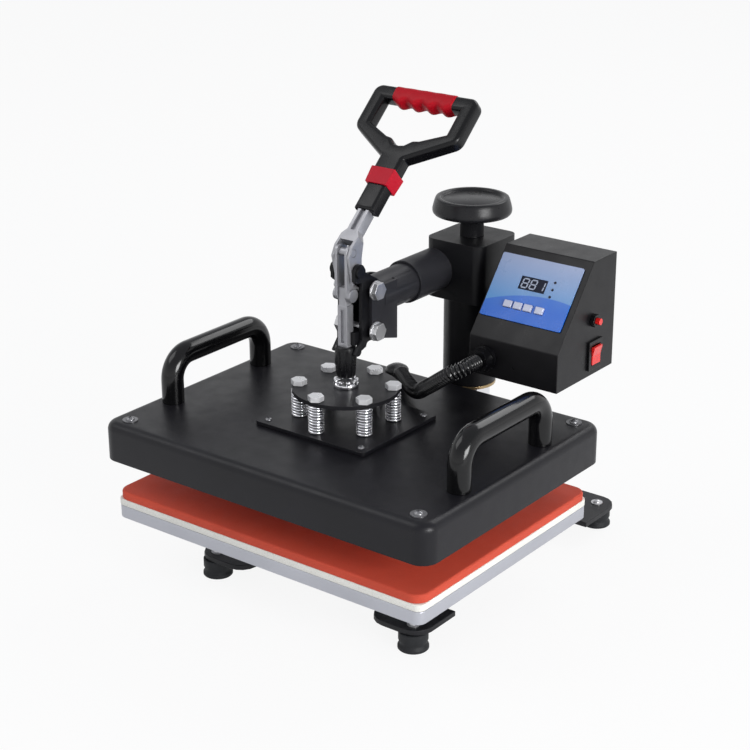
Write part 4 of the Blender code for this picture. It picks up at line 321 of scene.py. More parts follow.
@dataclass(frozen=True)
class PanelFilm(Finish):
    """A printed film whose blue deepens below a curved sweep.

    Attributes:
        seat: The matrix from the panel's frame to the model's.
        top: The colour along the upper edge.
        sweep: The pale colour along the sweep.
        deep: The colour below the sweep.
        sweep_middle: The place of the sweep's crest across the panel.
        sweep_height: The distance of its crest below the slope's top edge.
        sweep_bend: How fast it falls away from the crest.
        fade: Where down the slope the top colour starts to fade and has gone.
        step_half: Half the width of the sweep's edge.
        step_share: How far the colour has turned deep just below it.
        deepen_run: The distance over which it turns fully deep.
    """

    seat: Matrix = field(default_factory=lambda: Matrix.Identity(4))
    top: Colour = (0.33, 0.40, 0.60)
    sweep: Colour = (0.090, 0.29, 0.62)
    deep: Colour = (0.004, 0.125, 0.60)
    sweep_middle: float = 0.150
    sweep_height: float = 0.0470
    sweep_bend: float = 3.0
    fade: tuple[float, float] = (0.010, 0.056)
    step_half: float = 0.0004
    step_share: float = 0.82
    deepen_run: float = 0.014

    def tint(self, tree: Tree, where: bpy.types.NodeSocket) -> bpy.types.NodeSocket:
        """Return the blue of the film at a place."""
        back = self.seat.inverted()
        local = tree.add("ShaderNodeMapping", {"Vector": where, "Rotation": back.to_euler(),
                                               "Location": back.translation})
        across, along, _ = tree.add("ShaderNodeSeparateXYZ", {0: local.outputs[0]}).outputs
        down = tree.sum("MULTIPLY", along, -1.0)
        aside = tree.sum("SUBTRACT", across, self.sweep_middle)
        bend = tree.sum("MULTIPLY", tree.sum("MULTIPLY", aside, aside), self.sweep_bend)
        below = tree.sum("SUBTRACT", down, tree.sum("ADD", bend, self.sweep_height))
        upper = tree.blend(tree.ramp(down, *self.fade), opaque(self.top), opaque(self.sweep))
        step = tree.ramp(below, -self.step_half, self.step_half, high=self.step_share)
        deepen = tree.ramp(below, 0.0, self.deepen_run, high=1.0 - self.step_share)
        return tree.blend(tree.sum("ADD", step, deepen), upper, opaque(self.deep))


@dataclass(frozen=True)
class GlowFinish(Finish):
    """A lit plastic, such as a display's digits.

    Attributes:
        glow: The strength of its own light.
    """

    glow: float = 0.3

    def build(self) -> bpy.types.Material:
        """Return the finish as a material that also gives light."""
        material = super().build()
        shader = material.node_tree.nodes["Principled BSDF"]
        shader.inputs["Emission Color"].default_value = opaque(self.colour)
        shader.inputs["Emission Strength"].default_value = self.glow
        return material


Softened = tuple[str, Finish, float, int]
SLOPE_TOP = (0.09475, 0.328)
SLOPE = math.atan2(0.0784, 0.062)


def panel_seat(top: tuple[float, float], slope: float) -> Matrix:
    """Return the matrix from the sloping front's frame to the model's."""
    return Matrix.Translation((0.0, *top)) @ Matrix.Rotation(slope, 4, "X")


class Palette:
    """The press's finishes, each built once."""

    COAT = Finish("fine_powder_coat", (0.0060, 0.0060, 0.0072), 0.38, mottle=0.20, grain=1500.0,
                  relief=0.20, specular=0.24)
    COVER_COAT = Finish("cover_powder_coat", (0.0070, 0.0068, 0.0092), 0.36, mottle=0.22,
                        grain=1700.0, relief=0.24, specular=0.30)
    # The arm's own coat; the head block's boss also takes it as painted light.
    ARM_COAT_AND_BOSS_LIGHT = Finish("arm_coat_and_painted_boss_light", (0.022, 0.022, 0.026), 0.44, grain=1300.0, relief=0.18,
                      specular=0.28)
    BOX_COAT = Finish("box_powder_coat", (0.0045, 0.0042, 0.0052), 0.32, mottle=0.20, grain=1900.0,
                      relief=0.16, specular=0.28)
    FRAME_COAT = Finish("frame_powder_coat", (0.010, 0.010, 0.012), 0.42, grain=1200.0, relief=0.20,
                        specular=0.32)
    GLOSS_COAT = Finish("gloss_dipped_handle", (0.0022, 0.0022, 0.0026), 0.14, gloss_spread=0.05,
                        grain=240.0, relief=0.03, specular=0.42)
    MOULDED = Finish("moulded_black_plastic", (0.0045, 0.0045, 0.0054), 0.26, grain=1100.0,
                     relief=0.10, specular=0.30)
    KNOB = Finish("knob_plastic", (0.0105, 0.0105, 0.0120), 0.30, grain=1500.0, relief=0.14,
                  specular=0.30)
    FOOT_RUBBER = Finish("foot_rubber", (0.013, 0.014, 0.016), 0.58, grain=700.0, relief=0.25,
                         specular=0.35)
    HOSE_SKIN = Finish("hose_skin", (0.0035, 0.0035, 0.0042), 0.20, gloss_spread=0.08,
                       grain=900.0, relief=0.08, specular=0.55)
    RED_GRIP = Finish("red_grip_rubber", (0.47, 0.0045, 0.014), 0.40, mottle=0.08,
                      grain=1400.0, relief=0.10, specular=0.16)
    RED_COLLAR = Finish("red_collar_plastic", (0.50, 0.0060, 0.022), 0.34, mottle=0.06,
                        grain=1100.0, relief=0.06, specular=0.18)
    RED_LENS = Finish("red_rocker_plastic", (0.72, 0.012, 0.010), 0.16, mottle=0.04,
                      gloss_spread=0.05, grain=500.0, relief=0.03, coat=0.4)
    ZINC = Finish("bright_zinc", (0.40, 0.40, 0.42), 0.42, metallic=0.72, mottle=0.12,
                  gloss_spread=0.14, grain=650.0, relief=0.12, stretch=(1.0, 1.0, 0.12))
    BOLT_ZINC = Finish("cast_zinc_head", (0.58, 0.58, 0.59), 0.34, metallic=0.78, mottle=0.20,
                       gloss_spread=0.20, grain=380.0, relief=0.45)
    STUD_HEAD = Finish("bright_stud_head", (0.84, 0.84, 0.85), 0.30, metallic=0.45, mottle=0.16,
                       gloss_spread=0.16, grain=420.0, relief=0.40)
    CHROME = Finish("bright_chrome", (0.86, 0.86, 0.88), 0.08, metallic=1.0, mottle=0.02,
                    gloss_spread=0.05, grain=500.0, relief=0.02)
    ALLOY = Finish("satin_lower_plate", (0.50, 0.51, 0.555), 0.36, metallic=0.55, mottle=0.05,
                   grain=800.0, relief=0.10, stretch=(0.05, 1.0, 1.0))
    PLATEN = Finish("machined_platen", (0.72, 0.71, 0.70), 0.34, metallic=0.9, mottle=0.06,
                    grain=700.0, relief=0.12, stretch=(0.05, 1.0, 1.0))
    BRONZE = Finish("turned_bronze", (0.45, 0.33, 0.18), 0.30, metallic=1.0, grain=600.0,
                    relief=0.08, stretch=(1.0, 1.0, 0.05))
    BOARD = SpeckledFinish("pressed_board", (0.84, 0.83, 0.77), 0.72, mottle=0.05, grain=900.0,
                           relief=0.30, specular=0.3, speck=(0.62, 0.60, 0.52),
                           speck_scale=900.0, speck_share=0.35)
    SILICONE = SpeckledFinish("silicone_sponge", (0.60, 0.078, 0.042), 0.62, mottle=0.10,
                              grain=1600.0, relief=0.35, specular=0.22,
                              speck=(0.44, 0.050, 0.028), speck_scale=1500.0, speck_share=0.4)
    CIRCUIT = SpeckledFinish("circuit_resin", (0.02, 0.16, 0.06), 0.4, speck=(0.5, 0.5, 0.45),
                             speck_scale=400.0, speck_share=0.5)
    WINDOW = Finish("display_window", (0.0025, 0.0060, 0.022), 0.34, gloss_spread=0.04,
                    grain=200.0, relief=0.01, specular=0.15)
    LED = Finish("unlit_lamp", (0.004, 0.005, 0.022), 0.22, grain=300.0, relief=0.02)
    FILM = PanelFilm("panel_film", (0.1, 0.3, 0.8), 0.30, grain=500.0, relief=0.03,
                     seat=panel_seat(SLOPE_TOP, SLOPE))
    KEY = Finish("pale_key", (0.55, 0.58, 0.72), 0.34, mottle=0.08, grain=900.0, relief=0.10)
    DIGIT = GlowFinish("digit_segment", (0.36, 0.41, 0.52), 0.4, glow=0.10)
    SPRING = Finish("spring_chrome", (0.84, 0.84, 0.87), 0.16, metallic=1.0, mottle=0.05,
                    grain=700.0, relief=0.05)
    DULL_SCREW = Finish("dull_screw", (0.26, 0.26, 0.27), 0.36, metallic=0.9, mottle=0.20,
                        gloss_spread=0.16, grain=520.0, relief=0.30)
    THREAD = Finish("rolled_thread", (0.62, 0.62, 0.64), 0.32, metallic=1.0, grain=900.0,
                    relief=0.35, stretch=(0.1, 0.1, 1.0))

    def __init__(self) -> None:
        """Start with no material built."""
        self.built: dict[str, bpy.types.Material] = {}

    def get(self, finish: Finish) -> bpy.types.Material:
        """Return the material of a finish."""
        if finish.name not in self.built:
            self.built[finish.name] = finish.build()
        return self.built[finish.name]


# ---- shapes


def shown(name: str, data: bpy.types.ID) -> bpy.types.Object:
    """Return a new object of the scene that holds a mesh, a curve, a camera or a light."""
    item = bpy.data.objects.new(name, data)
    bpy.context.scene.collection.objects.link(item)
    return item


def evaluated(item: bpy.types.Object) -> bpy.types.Mesh:
    """Return the mesh that an object's modifiers or its curve give."""
    bpy.context.view_layer.update()
    graph = bpy.context.evaluated_depsgraph_get()
    return bpy.data.meshes.new_from_object(item.evaluated_get(graph))


def rest(name: str, shape: bmesh.types.BMesh, smooth: float = SHARP_ANGLE,
         outward: bool = True) -> bpy.types.Object:
    """Turn a bmesh into an object at the origin.

    Args:
        name: The piece's name.
        shape: The bmesh, which is freed.
        smooth: The angle above which an edge stays sharp.
        outward: Whether the faces are turned outward first.

    Returns:
        The new object.
    """
    mesh = bpy.data.meshes.new(name)
    if outward:
        bmesh.ops.recalc_face_normals(shape, faces=shape.faces)
    shape.to_mesh(mesh)
    shape.free()
    mesh.shade_smooth()
    mesh.set_sharp_from_angle(angle=smooth)
    return shown(name, mesh)


def settle(item: bpy.types.Object) -> None:
    """Apply an object's modifiers to its mesh."""
    mesh = evaluated(item)
    item.modifiers.clear()
    item.data = mesh


def bevel_edges(item: bpy.types.Object, width: float, segments: int) -> None:
    """Round an object's sharp edges."""
    bevel = item.modifiers.new("rounding", "BEVEL")
    bevel.width = width
    bevel.segments = segments
    bevel.limit_method = "ANGLE"
    bevel.angle_limit = BEVEL_ANGLE
    bevel.harden_normals = True
    settle(item)


def rings(name: str, sections: Sequence[Sequence[Vector]],
          smooth: float = SHARP_ANGLE) -> bpy.types.Object:
    """Skin a row of equal rings and cap its two ends.

    Args:
        name: The piece's name.
        sections: The rings' points, all of one count.
        smooth: The angle above which an edge stays sharp.

    Returns:
        The new object.
    """
    shape = bmesh.new()
    rows = [[shape.verts.new(point) for point in section] for section in sections]
    count = len(rows[0])
    for first, second in zip(rows, rows[1:]):
        for index in range(count):
            after = (index + 1) % count
            shape.faces.new((first[index], first[after], second[after], second[index]))
    shape.faces.new(rows[0])
    shape.faces.new(rows[-1])
    bmesh.ops.remove_doubles(shape, verts=shape.verts, dist=MERGE_DISTANCE)
    return rest(name, shape, smooth)


def turned(name: str, profile: Sequence[tuple[float, float]], centre: Place,
           run: Run = Run.UP, sides: int = 96, hollow: bool = False,
           smooth: float = SHARP_ANGLE) -> bpy.types.Object:
    """Turn a profile about an axis.

    Args:
        name: The piece's name.
        profile: Points of (radius, height); a hollow one joins its last to its first.
        centre: The place of height zero on the axis.
        run: The direction of the axis.
        sides: The number of facets.
        hollow: Whether the profile closes on itself.
        smooth: The angle above which an edge stays sharp.

    Returns:
        The new object.
    """
    seat = Matrix.Translation(centre) @ run.matrix()
    sections = []
    for index in range(sides):
        angle = math.tau * index / sides
        sections.append([seat @ Vector((radius * math.cos(angle), radius * math.sin(angle),
                                        height)) for radius, height in profile])
    shape = bmesh.new()
    rows = [[shape.verts.new(point) for point in section] for section in sections]
    last = len(profile) if hollow else len(profile) - 1
    for index, row in enumerate(rows):
        other = rows[(index + 1) % sides]
        for step in range(last):
            after = (step + 1) % len(profile)
            shape.faces.new((row[step], row[after], other[after], other[step]))
    bmesh.ops.remove_doubles(shape, verts=shape.verts, dist=MERGE_DISTANCE)
    return rest(name, shape, smooth)


def pipe(name: str, points: Sequence[Vector], radius: float, sides: int) -> bpy.types.Object:
    """Run a round pipe through points.

    Args:
        name: The piece's name.
        points: The points of its centre line.
        radius: Its radius.
        sides: The number of facets.

    Returns:
        The new object.
    """
    sections = []
    side = Vector((1.0, 0.0, 0.0))
    for index, point in enumerate(points):
        ahead = points[min(index + 1, len(points) - 1)] - points[max(index - 1, 0)]
        ahead.normalize()
        side = side - ahead * side.dot(ahead)
        if side.length < 0.1:
            side = ahead.orthogonal()
        side.normalize()
        other = ahead.cross(side)
        sections.append([point + (side * math.cos(math.tau * step / sides)
                                  + other * math.sin(math.tau * step / sides)) * radius
                         for step in range(sides)])
    return rings(name, sections)


def slab(name: str, low: Place, high: Place, corner: float = 0.0, rim: float = 0.0,
         foot: float = 0.0, steps: int = 8) -> bpy.types.Object:
    """Make a box with rounded upright edges and rounded rims.

    Args:
        name: The piece's name.
        low: Its lowest corner.
        high: Its highest corner.
        corner: The radius of its upright edges.
        rim: The radius round its top.
        foot: The radius round its underside.
        steps: The number of facets of each rounding.

    Returns:
        The new object.
    """
    shape = bmesh.new()
    bmesh.ops.create_cube(shape, size=1.0)
    size = Vector(high) - Vector(low)
    bmesh.ops.scale(shape, vec=size, verts=shape.verts)

    def level(edge: bmesh.types.BMEdge, height: float) -> bool:
        """Tell whether an edge lies at a height."""
        return all(abs(vert.co.z - height) < MERGE_DISTANCE for vert in edge.verts)

    def soften(edges: list[bmesh.types.BMEdge], radius: float) -> None:
        """Round some edges."""
        bmesh.ops.bevel(shape, geom=edges, offset=radius, offset_type="OFFSET",
                        segments=steps, profile=0.5, affect="EDGES", clamp_overlap=True)

    if corner > 0:
        soften([edge for edge in shape.edges
                if abs(edge.verts[0].co.z - edge.verts[1].co.z) > MERGE_DISTANCE], corner)
    if rim > 0:
        soften([edge for edge in shape.edges if level(edge, size.z / 2)], rim)
    if foot > 0:
        soften([edge for edge in shape.edges if level(edge, -size.z / 2)], foot)
    bmesh.ops.translate(shape, vec=(Vector(low) + Vector(high)) / 2, verts=shape.verts)
    return rest(name, shape)


def rounded(corners: Sequence[tuple[float, float, float]], steps: int = 8) -> list[Vector]:
    """Replace each (x, y, radius) corner of an outline by an arc.

    Args:
        corners: The outline's corners in order.
        steps: The number of facets of each arc.

    Returns:
        The points of the rounded outline.
    """
    points = []
    for index, (x, y, radius) in enumerate(corners):
        here = Vector((x, y))
        if radius <= 0:
            points.append(here)
            continue
        inward = (Vector(corners[index - 1][:2]) - here).normalized()
        outward = (Vector(corners[(index + 1) % len(corners)][:2]) - here).normalized()
        half = inward.angle(outward) / 2
        centre = here + (inward + outward).normalized() * radius / math.sin(half)
        first = here + inward * radius / math.tan(half) - centre
        last = here + outward * radius / math.tan(half) - centre
        turn = first.angle_signed(last)
        for step in range(steps + 1):
            arm = first.copy()
            arm.rotate(Matrix.Rotation(-turn * step / steps, 2))
            points.append(centre + arm)
    return points


def plate(name: str, outline: Sequence[Vector | tuple[float, float]], thickness: float,
          seat: Matrix, edge: float = 0.0, steps: int = 5) -> bpy.types.Object:
    """Extrude a flat outline about its own plane.

    Args:
        name: The piece's name.
        outline: Its points in the plane.
        thickness: The whole thickness.
        seat: The matrix from the plane's frame to the model's.
        edge: The radius of its edges, which the outline is drawn in by.
        steps: The fineness of its edges.

    Returns:
        The new object.
    """
    curve = bpy.data.curves.new(name, "CURVE")
    curve.dimensions = "2D"
    curve.fill_mode = "BOTH"
    curve.extrude = thickness / 2 - edge
    curve.bevel_depth = edge
    curve.bevel_resolution = steps
    spline = curve.splines.new("POLY")
    spline.points.add(len(outline) - 1)
    for point, place in zip(spline.points, outline):
        point.co = (place[0], place[1], 0.0, 1.0)
    spline.use_cyclic_u = True
    source = shown(name + "_curve", curve)
    shape = bmesh.new()
    shape.from_mesh(evaluated(source))
    bpy.data.objects.remove(source, do_unlink=True)
    bmesh.ops.remove_doubles(shape, verts=shape.verts, dist=WELD_DISTANCE)
    bmesh.ops.transform(shape, matrix=seat, verts=shape.verts)
    return rest(name, shape)


def merged(name: str, items: Iterable[bpy.types.Object]) -> bpy.types.Object:
    """Join objects into one that keeps their shading.

    Args:
        name: The joined piece's name.
        items: The objects, which are removed.

    Returns:
        The joined object.
    """
    shape = bmesh.new()
    for item in list(items):
        shape.from_mesh(item.data)
        bpy.data.objects.remove(item, do_unlink=True)
    return rest(name, shape)


# ---- repeated pieces made by geometry nodes


class GeometryRule:
    """A geometry node tree with named sizes, baked into a plain mesh."""

    def __init__(self, name: str, sizes: dict[str, float], material: bpy.types.Material) -> None:
        """Open a tree with its sizes as inputs.

        Args:
            name: The tree's name.
            sizes: Each input's name and value.
            material: The material that the result carries.
        """
        self.name = name
        self.sizes = sizes
        self.material = material
        self.group = bpy.data.node_groups.new(name, "GeometryNodeTree")
        self.hand = Tree(self.group)
        for way in ("INPUT", "OUTPUT"):
            self.group.interface.new_socket("Geometry", in_out=way,
                                            socket_type="NodeSocketGeometry")
        self.keys = {
            size: self.group.interface.new_socket(size, in_out="INPUT",
                                                  socket_type="NodeSocketFloat").identifier
            for size in sizes
        }
        self.entry = self.hand.add("NodeGroupInput")
        self.exit = self.hand.add("NodeGroupOutput")

    def size(self, name: str) -> bpy.types.NodeSocket:
        """Return the socket of a named size."""
        return self.entry.outputs[name]

    def close(self, shape: bpy.types.NodeSocket) -> None:
        """End the tree in real geometry that carries the material."""
        real = self.hand.add("GeometryNodeRealizeInstances", {0: shape})
        smooth = self.hand.add("GeometryNodeSetShadeSmooth", {"Geometry": real.outputs[0]})
        painted = self.hand.add("GeometryNodeSetMaterial",
                                {"Geometry": smooth.outputs[0], "Material": self.material})
        self.hand.link(painted.outputs[0], self.exit.inputs[0])

    def bake(self, base: bpy.types.ID, name: str) -> bpy.types.Object:
        """Return the tree's result on a base mesh or curve as a plain object."""
        source = shown(name + "_rule", base)
        modifier = source.modifiers.new("rule", "NODES")
        modifier.node_group = self.group
        for size, key in self.keys.items():
            modifier[key] = float(self.sizes[size])
        mesh = evaluated(source)
        mesh.name = name
        bpy.data.objects.remove(source, do_unlink=True)
        mesh.set_sharp_from_angle(angle=SHARP_ANGLE)
        return shown(name, mesh)

    def scatter(self, shape: bpy.types.NodeSocket, places: Iterable[Place],
                name: str) -> bpy.types.Object:
        """Set a shape on each of some places.

        Args:
            shape: The shape's socket.
            places: The places.
            name: The piece's name.

        Returns:
            All the copies as one plain object.
        """
        spread = self.hand.add("GeometryNodeInstanceOnPoints", {
            "Points": self.entry.outputs["Geometry"], "Instance": shape})
        self.close(spread.outputs[0])
        points = bpy.data.meshes.new("points")
        points.from_pydata([tuple(place) for place in places], [], [])
        return self.bake(points, name)


@dataclass
class ScrewSet:
    """Pan-head screws with a cross recess, each on a washer.

    Attributes:
        name: The set's name.
        places: Where the washers' undersides sit.
        run: The direction in which the heads point.
        head: The radius of a head.
        washer: The radius of a washer, or zero for none.
        washer_height: The height of a washer.
        head_share: The height of a head as a share of its radius.
        slot_width: The width of a recess's arms.
        slot_share: The length of its arms as a share of the head's radius.
        slot_lift: How high its middle stands, as a share of the head's radius.
        turn: How far each recess is turned.
    """

    name: str
    places: Sequence[Place]
    run: Run = Run.UP
    head: float = 0.0040
    washer: float = 0.0080
    washer_height: float = 0.0009
    head_share: float = 0.62
    slot_width: float = 0.0011
    slot_share: float = 1.1
    slot_lift: float = 0.85
    turn: float = 0.5

    def build(self, palette: Palette, finish: Finish | None = None) -> bpy.types.Object:
        """Return the screws as one mesh, of a finish of their own where one is given."""
        rule = GeometryRule(self.name + "_rule", {
            "Head": self.head, "Washer": self.washer, "Washer Height": self.washer_height,
            "Slot": self.slot_width,
        }, palette.get(finish or Palette.BOLT_ZINC))
        hand = rule.hand
        head, height, slot = rule.size("Head"), rule.size("Washer Height"), rule.size("Slot")
        washer = hand.add("GeometryNodeMeshCylinder", {
            "Vertices": 40, "Radius": rule.size("Washer"), "Depth": height})
        seated = hand.moved(washer.outputs["Mesh"],
                            Translation=hand.raised(hand.sum("MULTIPLY", height, 0.5)))
        ball = hand.add("GeometryNodeMeshUVSphere", {"Segments": 32, "Rings": 16,
                                                     "Radius": head})
        dome = hand.moved(ball.outputs["Mesh"], Translation=hand.raised(height),
                          Scale=(1.0, 1.0, self.head_share))
        cutter = hand.add("GeometryNodeMeshBoolean", operation="UNION", solver="EXACT")
        long = hand.sum("MULTIPLY", head, self.slot_share)
        for first, second in ((long, slot), (slot, long)):
            size = hand.add("ShaderNodeCombineXYZ", {0: first, 1: second, 2: head})
            arm = hand.add("GeometryNodeMeshCube", {"Size": size.outputs[0]})
            hand.link(arm.outputs["Mesh"], cutter.inputs["Mesh 2"])
        top = hand.sum("ADD", height, hand.sum("MULTIPLY", head, self.slot_lift))
        recess = hand.moved(cutter.outputs[0], Translation=hand.raised(top),
                            Rotation=(0.0, 0.0, self.turn))
        cut = hand.add("GeometryNodeMeshBoolean", {"Mesh 1": dome, "Mesh 2": recess},
                       operation="DIFFERENCE", solver="EXACT")
        join = hand.add("GeometryNodeJoinGeometry")
        hand.link(seated, join.inputs[0])
        hand.link(cut.outputs[0], join.inputs[0])
        aimed = hand.moved(join.outputs[0], Rotation=self.run.matrix().to_euler())
        return rule.scatter(aimed, self.places, self.name)


@dataclass
class SpringSet:
    """Coil springs with closed ends, all alike.

    Attributes:
        name: The set's name.
        places: The middles of the springs' lower ends.
        radius: The radius of a spring's centre line.
        wire: The wire's radius.
        height: The height between the ends' centre lines.
        turns: The number of free turns.
    """

    name: str
    places: Sequence[Place]
    radius: float
    wire: float
    height: float
    turns: float

    def build(self, palette: Palette) -> bpy.types.Object:
        """Return the springs as one mesh."""
        rule = GeometryRule(self.name + "_rule", {
            "Radius": self.radius, "Wire": self.wire, "Height": self.height,
            "Turns": self.turns,
        }, palette.get(Palette.SPRING))
        hand = rule.hand
        radius, height = rule.size("Radius"), rule.size("Height")
        coil = hand.add("GeometryNodeCurveSpiral", {
            "Resolution": 32, "Rotations": rule.size("Turns"), "Start Radius": radius,
            "End Radius": radius, "Height": height})
        ring = hand.add("GeometryNodeCurvePrimitiveCircle", {
            "Resolution": 32, "Radius": radius}).outputs["Curve"]
        upper = hand.moved(ring, Translation=hand.raised(height))
        wires = hand.add("GeometryNodeJoinGeometry")
        for part in (coil.outputs["Curve"], ring, upper):
            hand.link(part, wires.inputs[0])
        profile = hand.add("GeometryNodeCurvePrimitiveCircle", {
            "Resolution": 10, "Radius": rule.size("Wire")})
        solid = hand.add("GeometryNodeCurveToMesh", {
            "Curve": wires.outputs[0], "Profile Curve": profile.outputs["Curve"],
            "Fill Caps": True})
        return rule.scatter(solid.outputs[0], self.places, self.name)


@dataclass
class RibbedHose:
    """A ribbed hose along a route.

    Attributes:
        name: The piece's name.
        route: The points of its centre line, close together.
        rib: The radius over the ribs.
        valley: The radius between them.
        pitch: The distance from rib to rib.
        rings_per_rib: The number of rings along each rib.
        fullness: The power that rounds the ribs' crests.
    """

    name: str
    route: Sequence[Vector]
    rib: float
    valley: float
    pitch: float
    rings_per_rib: int = 8
    fullness: float = 0.6

    def build(self, palette: Palette) -> bpy.types.Object:
        """Return the hose as one mesh."""
        length = sum((b - a).length for a, b in zip(self.route, self.route[1:]))
        ribs = round(length / self.pitch)
        rule = GeometryRule(self.name + "_rule", {
            "Rib": self.rib, "Valley": self.valley, "Ribs": float(ribs),
        }, palette.get(Palette.HOSE_SKIN))
        hand = rule.hand
        even = hand.add("GeometryNodeResampleCurve", {
            "Curve": rule.entry.outputs["Geometry"], "Count": ribs * self.rings_per_rib + 1})
        along = hand.add("GeometryNodeSplineParameter").outputs["Factor"]
        turns = hand.sum("MULTIPLY", along, rule.size("Ribs"))
        wave = hand.sum("COSINE", hand.sum("MULTIPLY", turns, math.tau))
        crest = hand.sum("MULTIPLY", hand.sum("SUBTRACT", 1.0, wave), 0.5)
        share = hand.sum("POWER", crest, self.fullness)
        depth = hand.sum("SUBTRACT", rule.size("Rib"), rule.size("Valley"))
        radius = hand.sum("ADD", rule.size("Valley"), hand.sum("MULTIPLY", share, depth))
        profile = hand.add("GeometryNodeCurvePrimitiveCircle", {
            "Resolution": 28, "Radius": 1.0})
        solid = hand.add("GeometryNodeCurveToMesh", {
            "Curve": even.outputs[0], "Profile Curve": profile.outputs["Curve"],
            "Scale": radius, "Fill Caps": True})
        rule.close(solid.outputs[0])
        curve = bpy.data.curves.new(self.name, "CURVE")
        curve.dimensions = "3D"
        spline = curve.splines.new("POLY")
        spline.points.add(len(self.route) - 1)
        for point, place in zip(spline.points, self.route):
            point.co = (*place, 1.0)
        return rule.bake(curve, self.name)


# ---- putting pieces on their bodies


class Dresser:
    """Gives pieces their finish and sets them on the model's bodies."""

    def __init__(self, frame: dict[str, object]) -> None:
        """Keep the loaded model and open the palette."""
        self.nodes = frame["nodes"]
        record = frame["record"]
        self.palette = Palette()
        self.body_of = {
            node: body for body, members in record["behaviour"]["bodies"].items()
            for node in members
        }
        self.slot_of = {row["node"]: row["material_slot"] for row in record["subparts"]}

    def put(self, item: bpy.types.Object, body: str, finish: Finish | None,
            *replaced: str) -> bpy.types.Object:
        """Finish a piece and set it on a body.

        Args:
            item: The piece.
            body: The body that it rides on.
            finish: Its finish, or None where its mesh already carries one.
            replaced: The model's nodes that it stands for.

        Returns:
            The piece.
        """
        if finish is not None:
            self.coat(item, finish)
        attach(item, body)
        if replaced:
            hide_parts(*replaced)
        LOG.info("%s rides on %s", item.name, body)
        return item

    def coat(self, item: bpy.types.Object, *finishes: Finish) -> None:
        """Give an object the materials of some finishes, in place of those it has."""
        item.data.materials.clear()
        for finish in finishes:
            item.data.materials.append(self.palette.get(finish))

    def paint(self, node: str, finish: Finish) -> None:
        """Give a node of the model a finish."""
        self.coat(self.nodes[node], finish)
        LOG.info("%s keeps its shape", node)

    def soften_all(self, rows: Iterable[Softened],
                   trims: dict[str, Callable[[Vector], Vector]] | None = None
                   ) -> dict[str, bpy.types.Object]:
        """Stand copies with rounded edges in place of nodes.

        Args:
            rows: Each node, its finish, the width of the rounding and its facets.
            trims: The rules that move some nodes' points first.

        Returns:
            The copy of each node.
        """
        rules = trims or {}
        return {row[0]: self.soften(*row, rules.get(row[0])) for row in rows}

    def soften(self, node: str, finish: Finish, width: float, segments: int = 2,
               trim: Callable[[Vector], Vector] | None = None) -> bpy.types.Object:
        """Stand a copy with rounded edges in place of a node.

        Args:
            node: The model's node.
            finish: The copy's finish.
            width: The width of the rounding.
            segments: The number of facets of the rounding.
            trim: A rule that moves the copy's points before they are rounded.

        Returns:
            The copy.
        """
        shape = bmesh.new()
        shape.from_mesh(self.nodes[node].data)
        bmesh.ops.remove_doubles(shape, verts=shape.verts, dist=MERGE_DISTANCE)
        bmesh.ops.dissolve_limit(shape, angle_limit=FLAT_ANGLE, verts=shape.verts,
                                 edges=shape.edges)
        if trim is not None:
            for vert in shape.verts:
                vert.co = trim(vert.co)
        item = rest(node + "_finished", shape, outward=False)
        bevel_edges(item, width, segments)
        return self.put(item, self.body_of[node], finish, node)


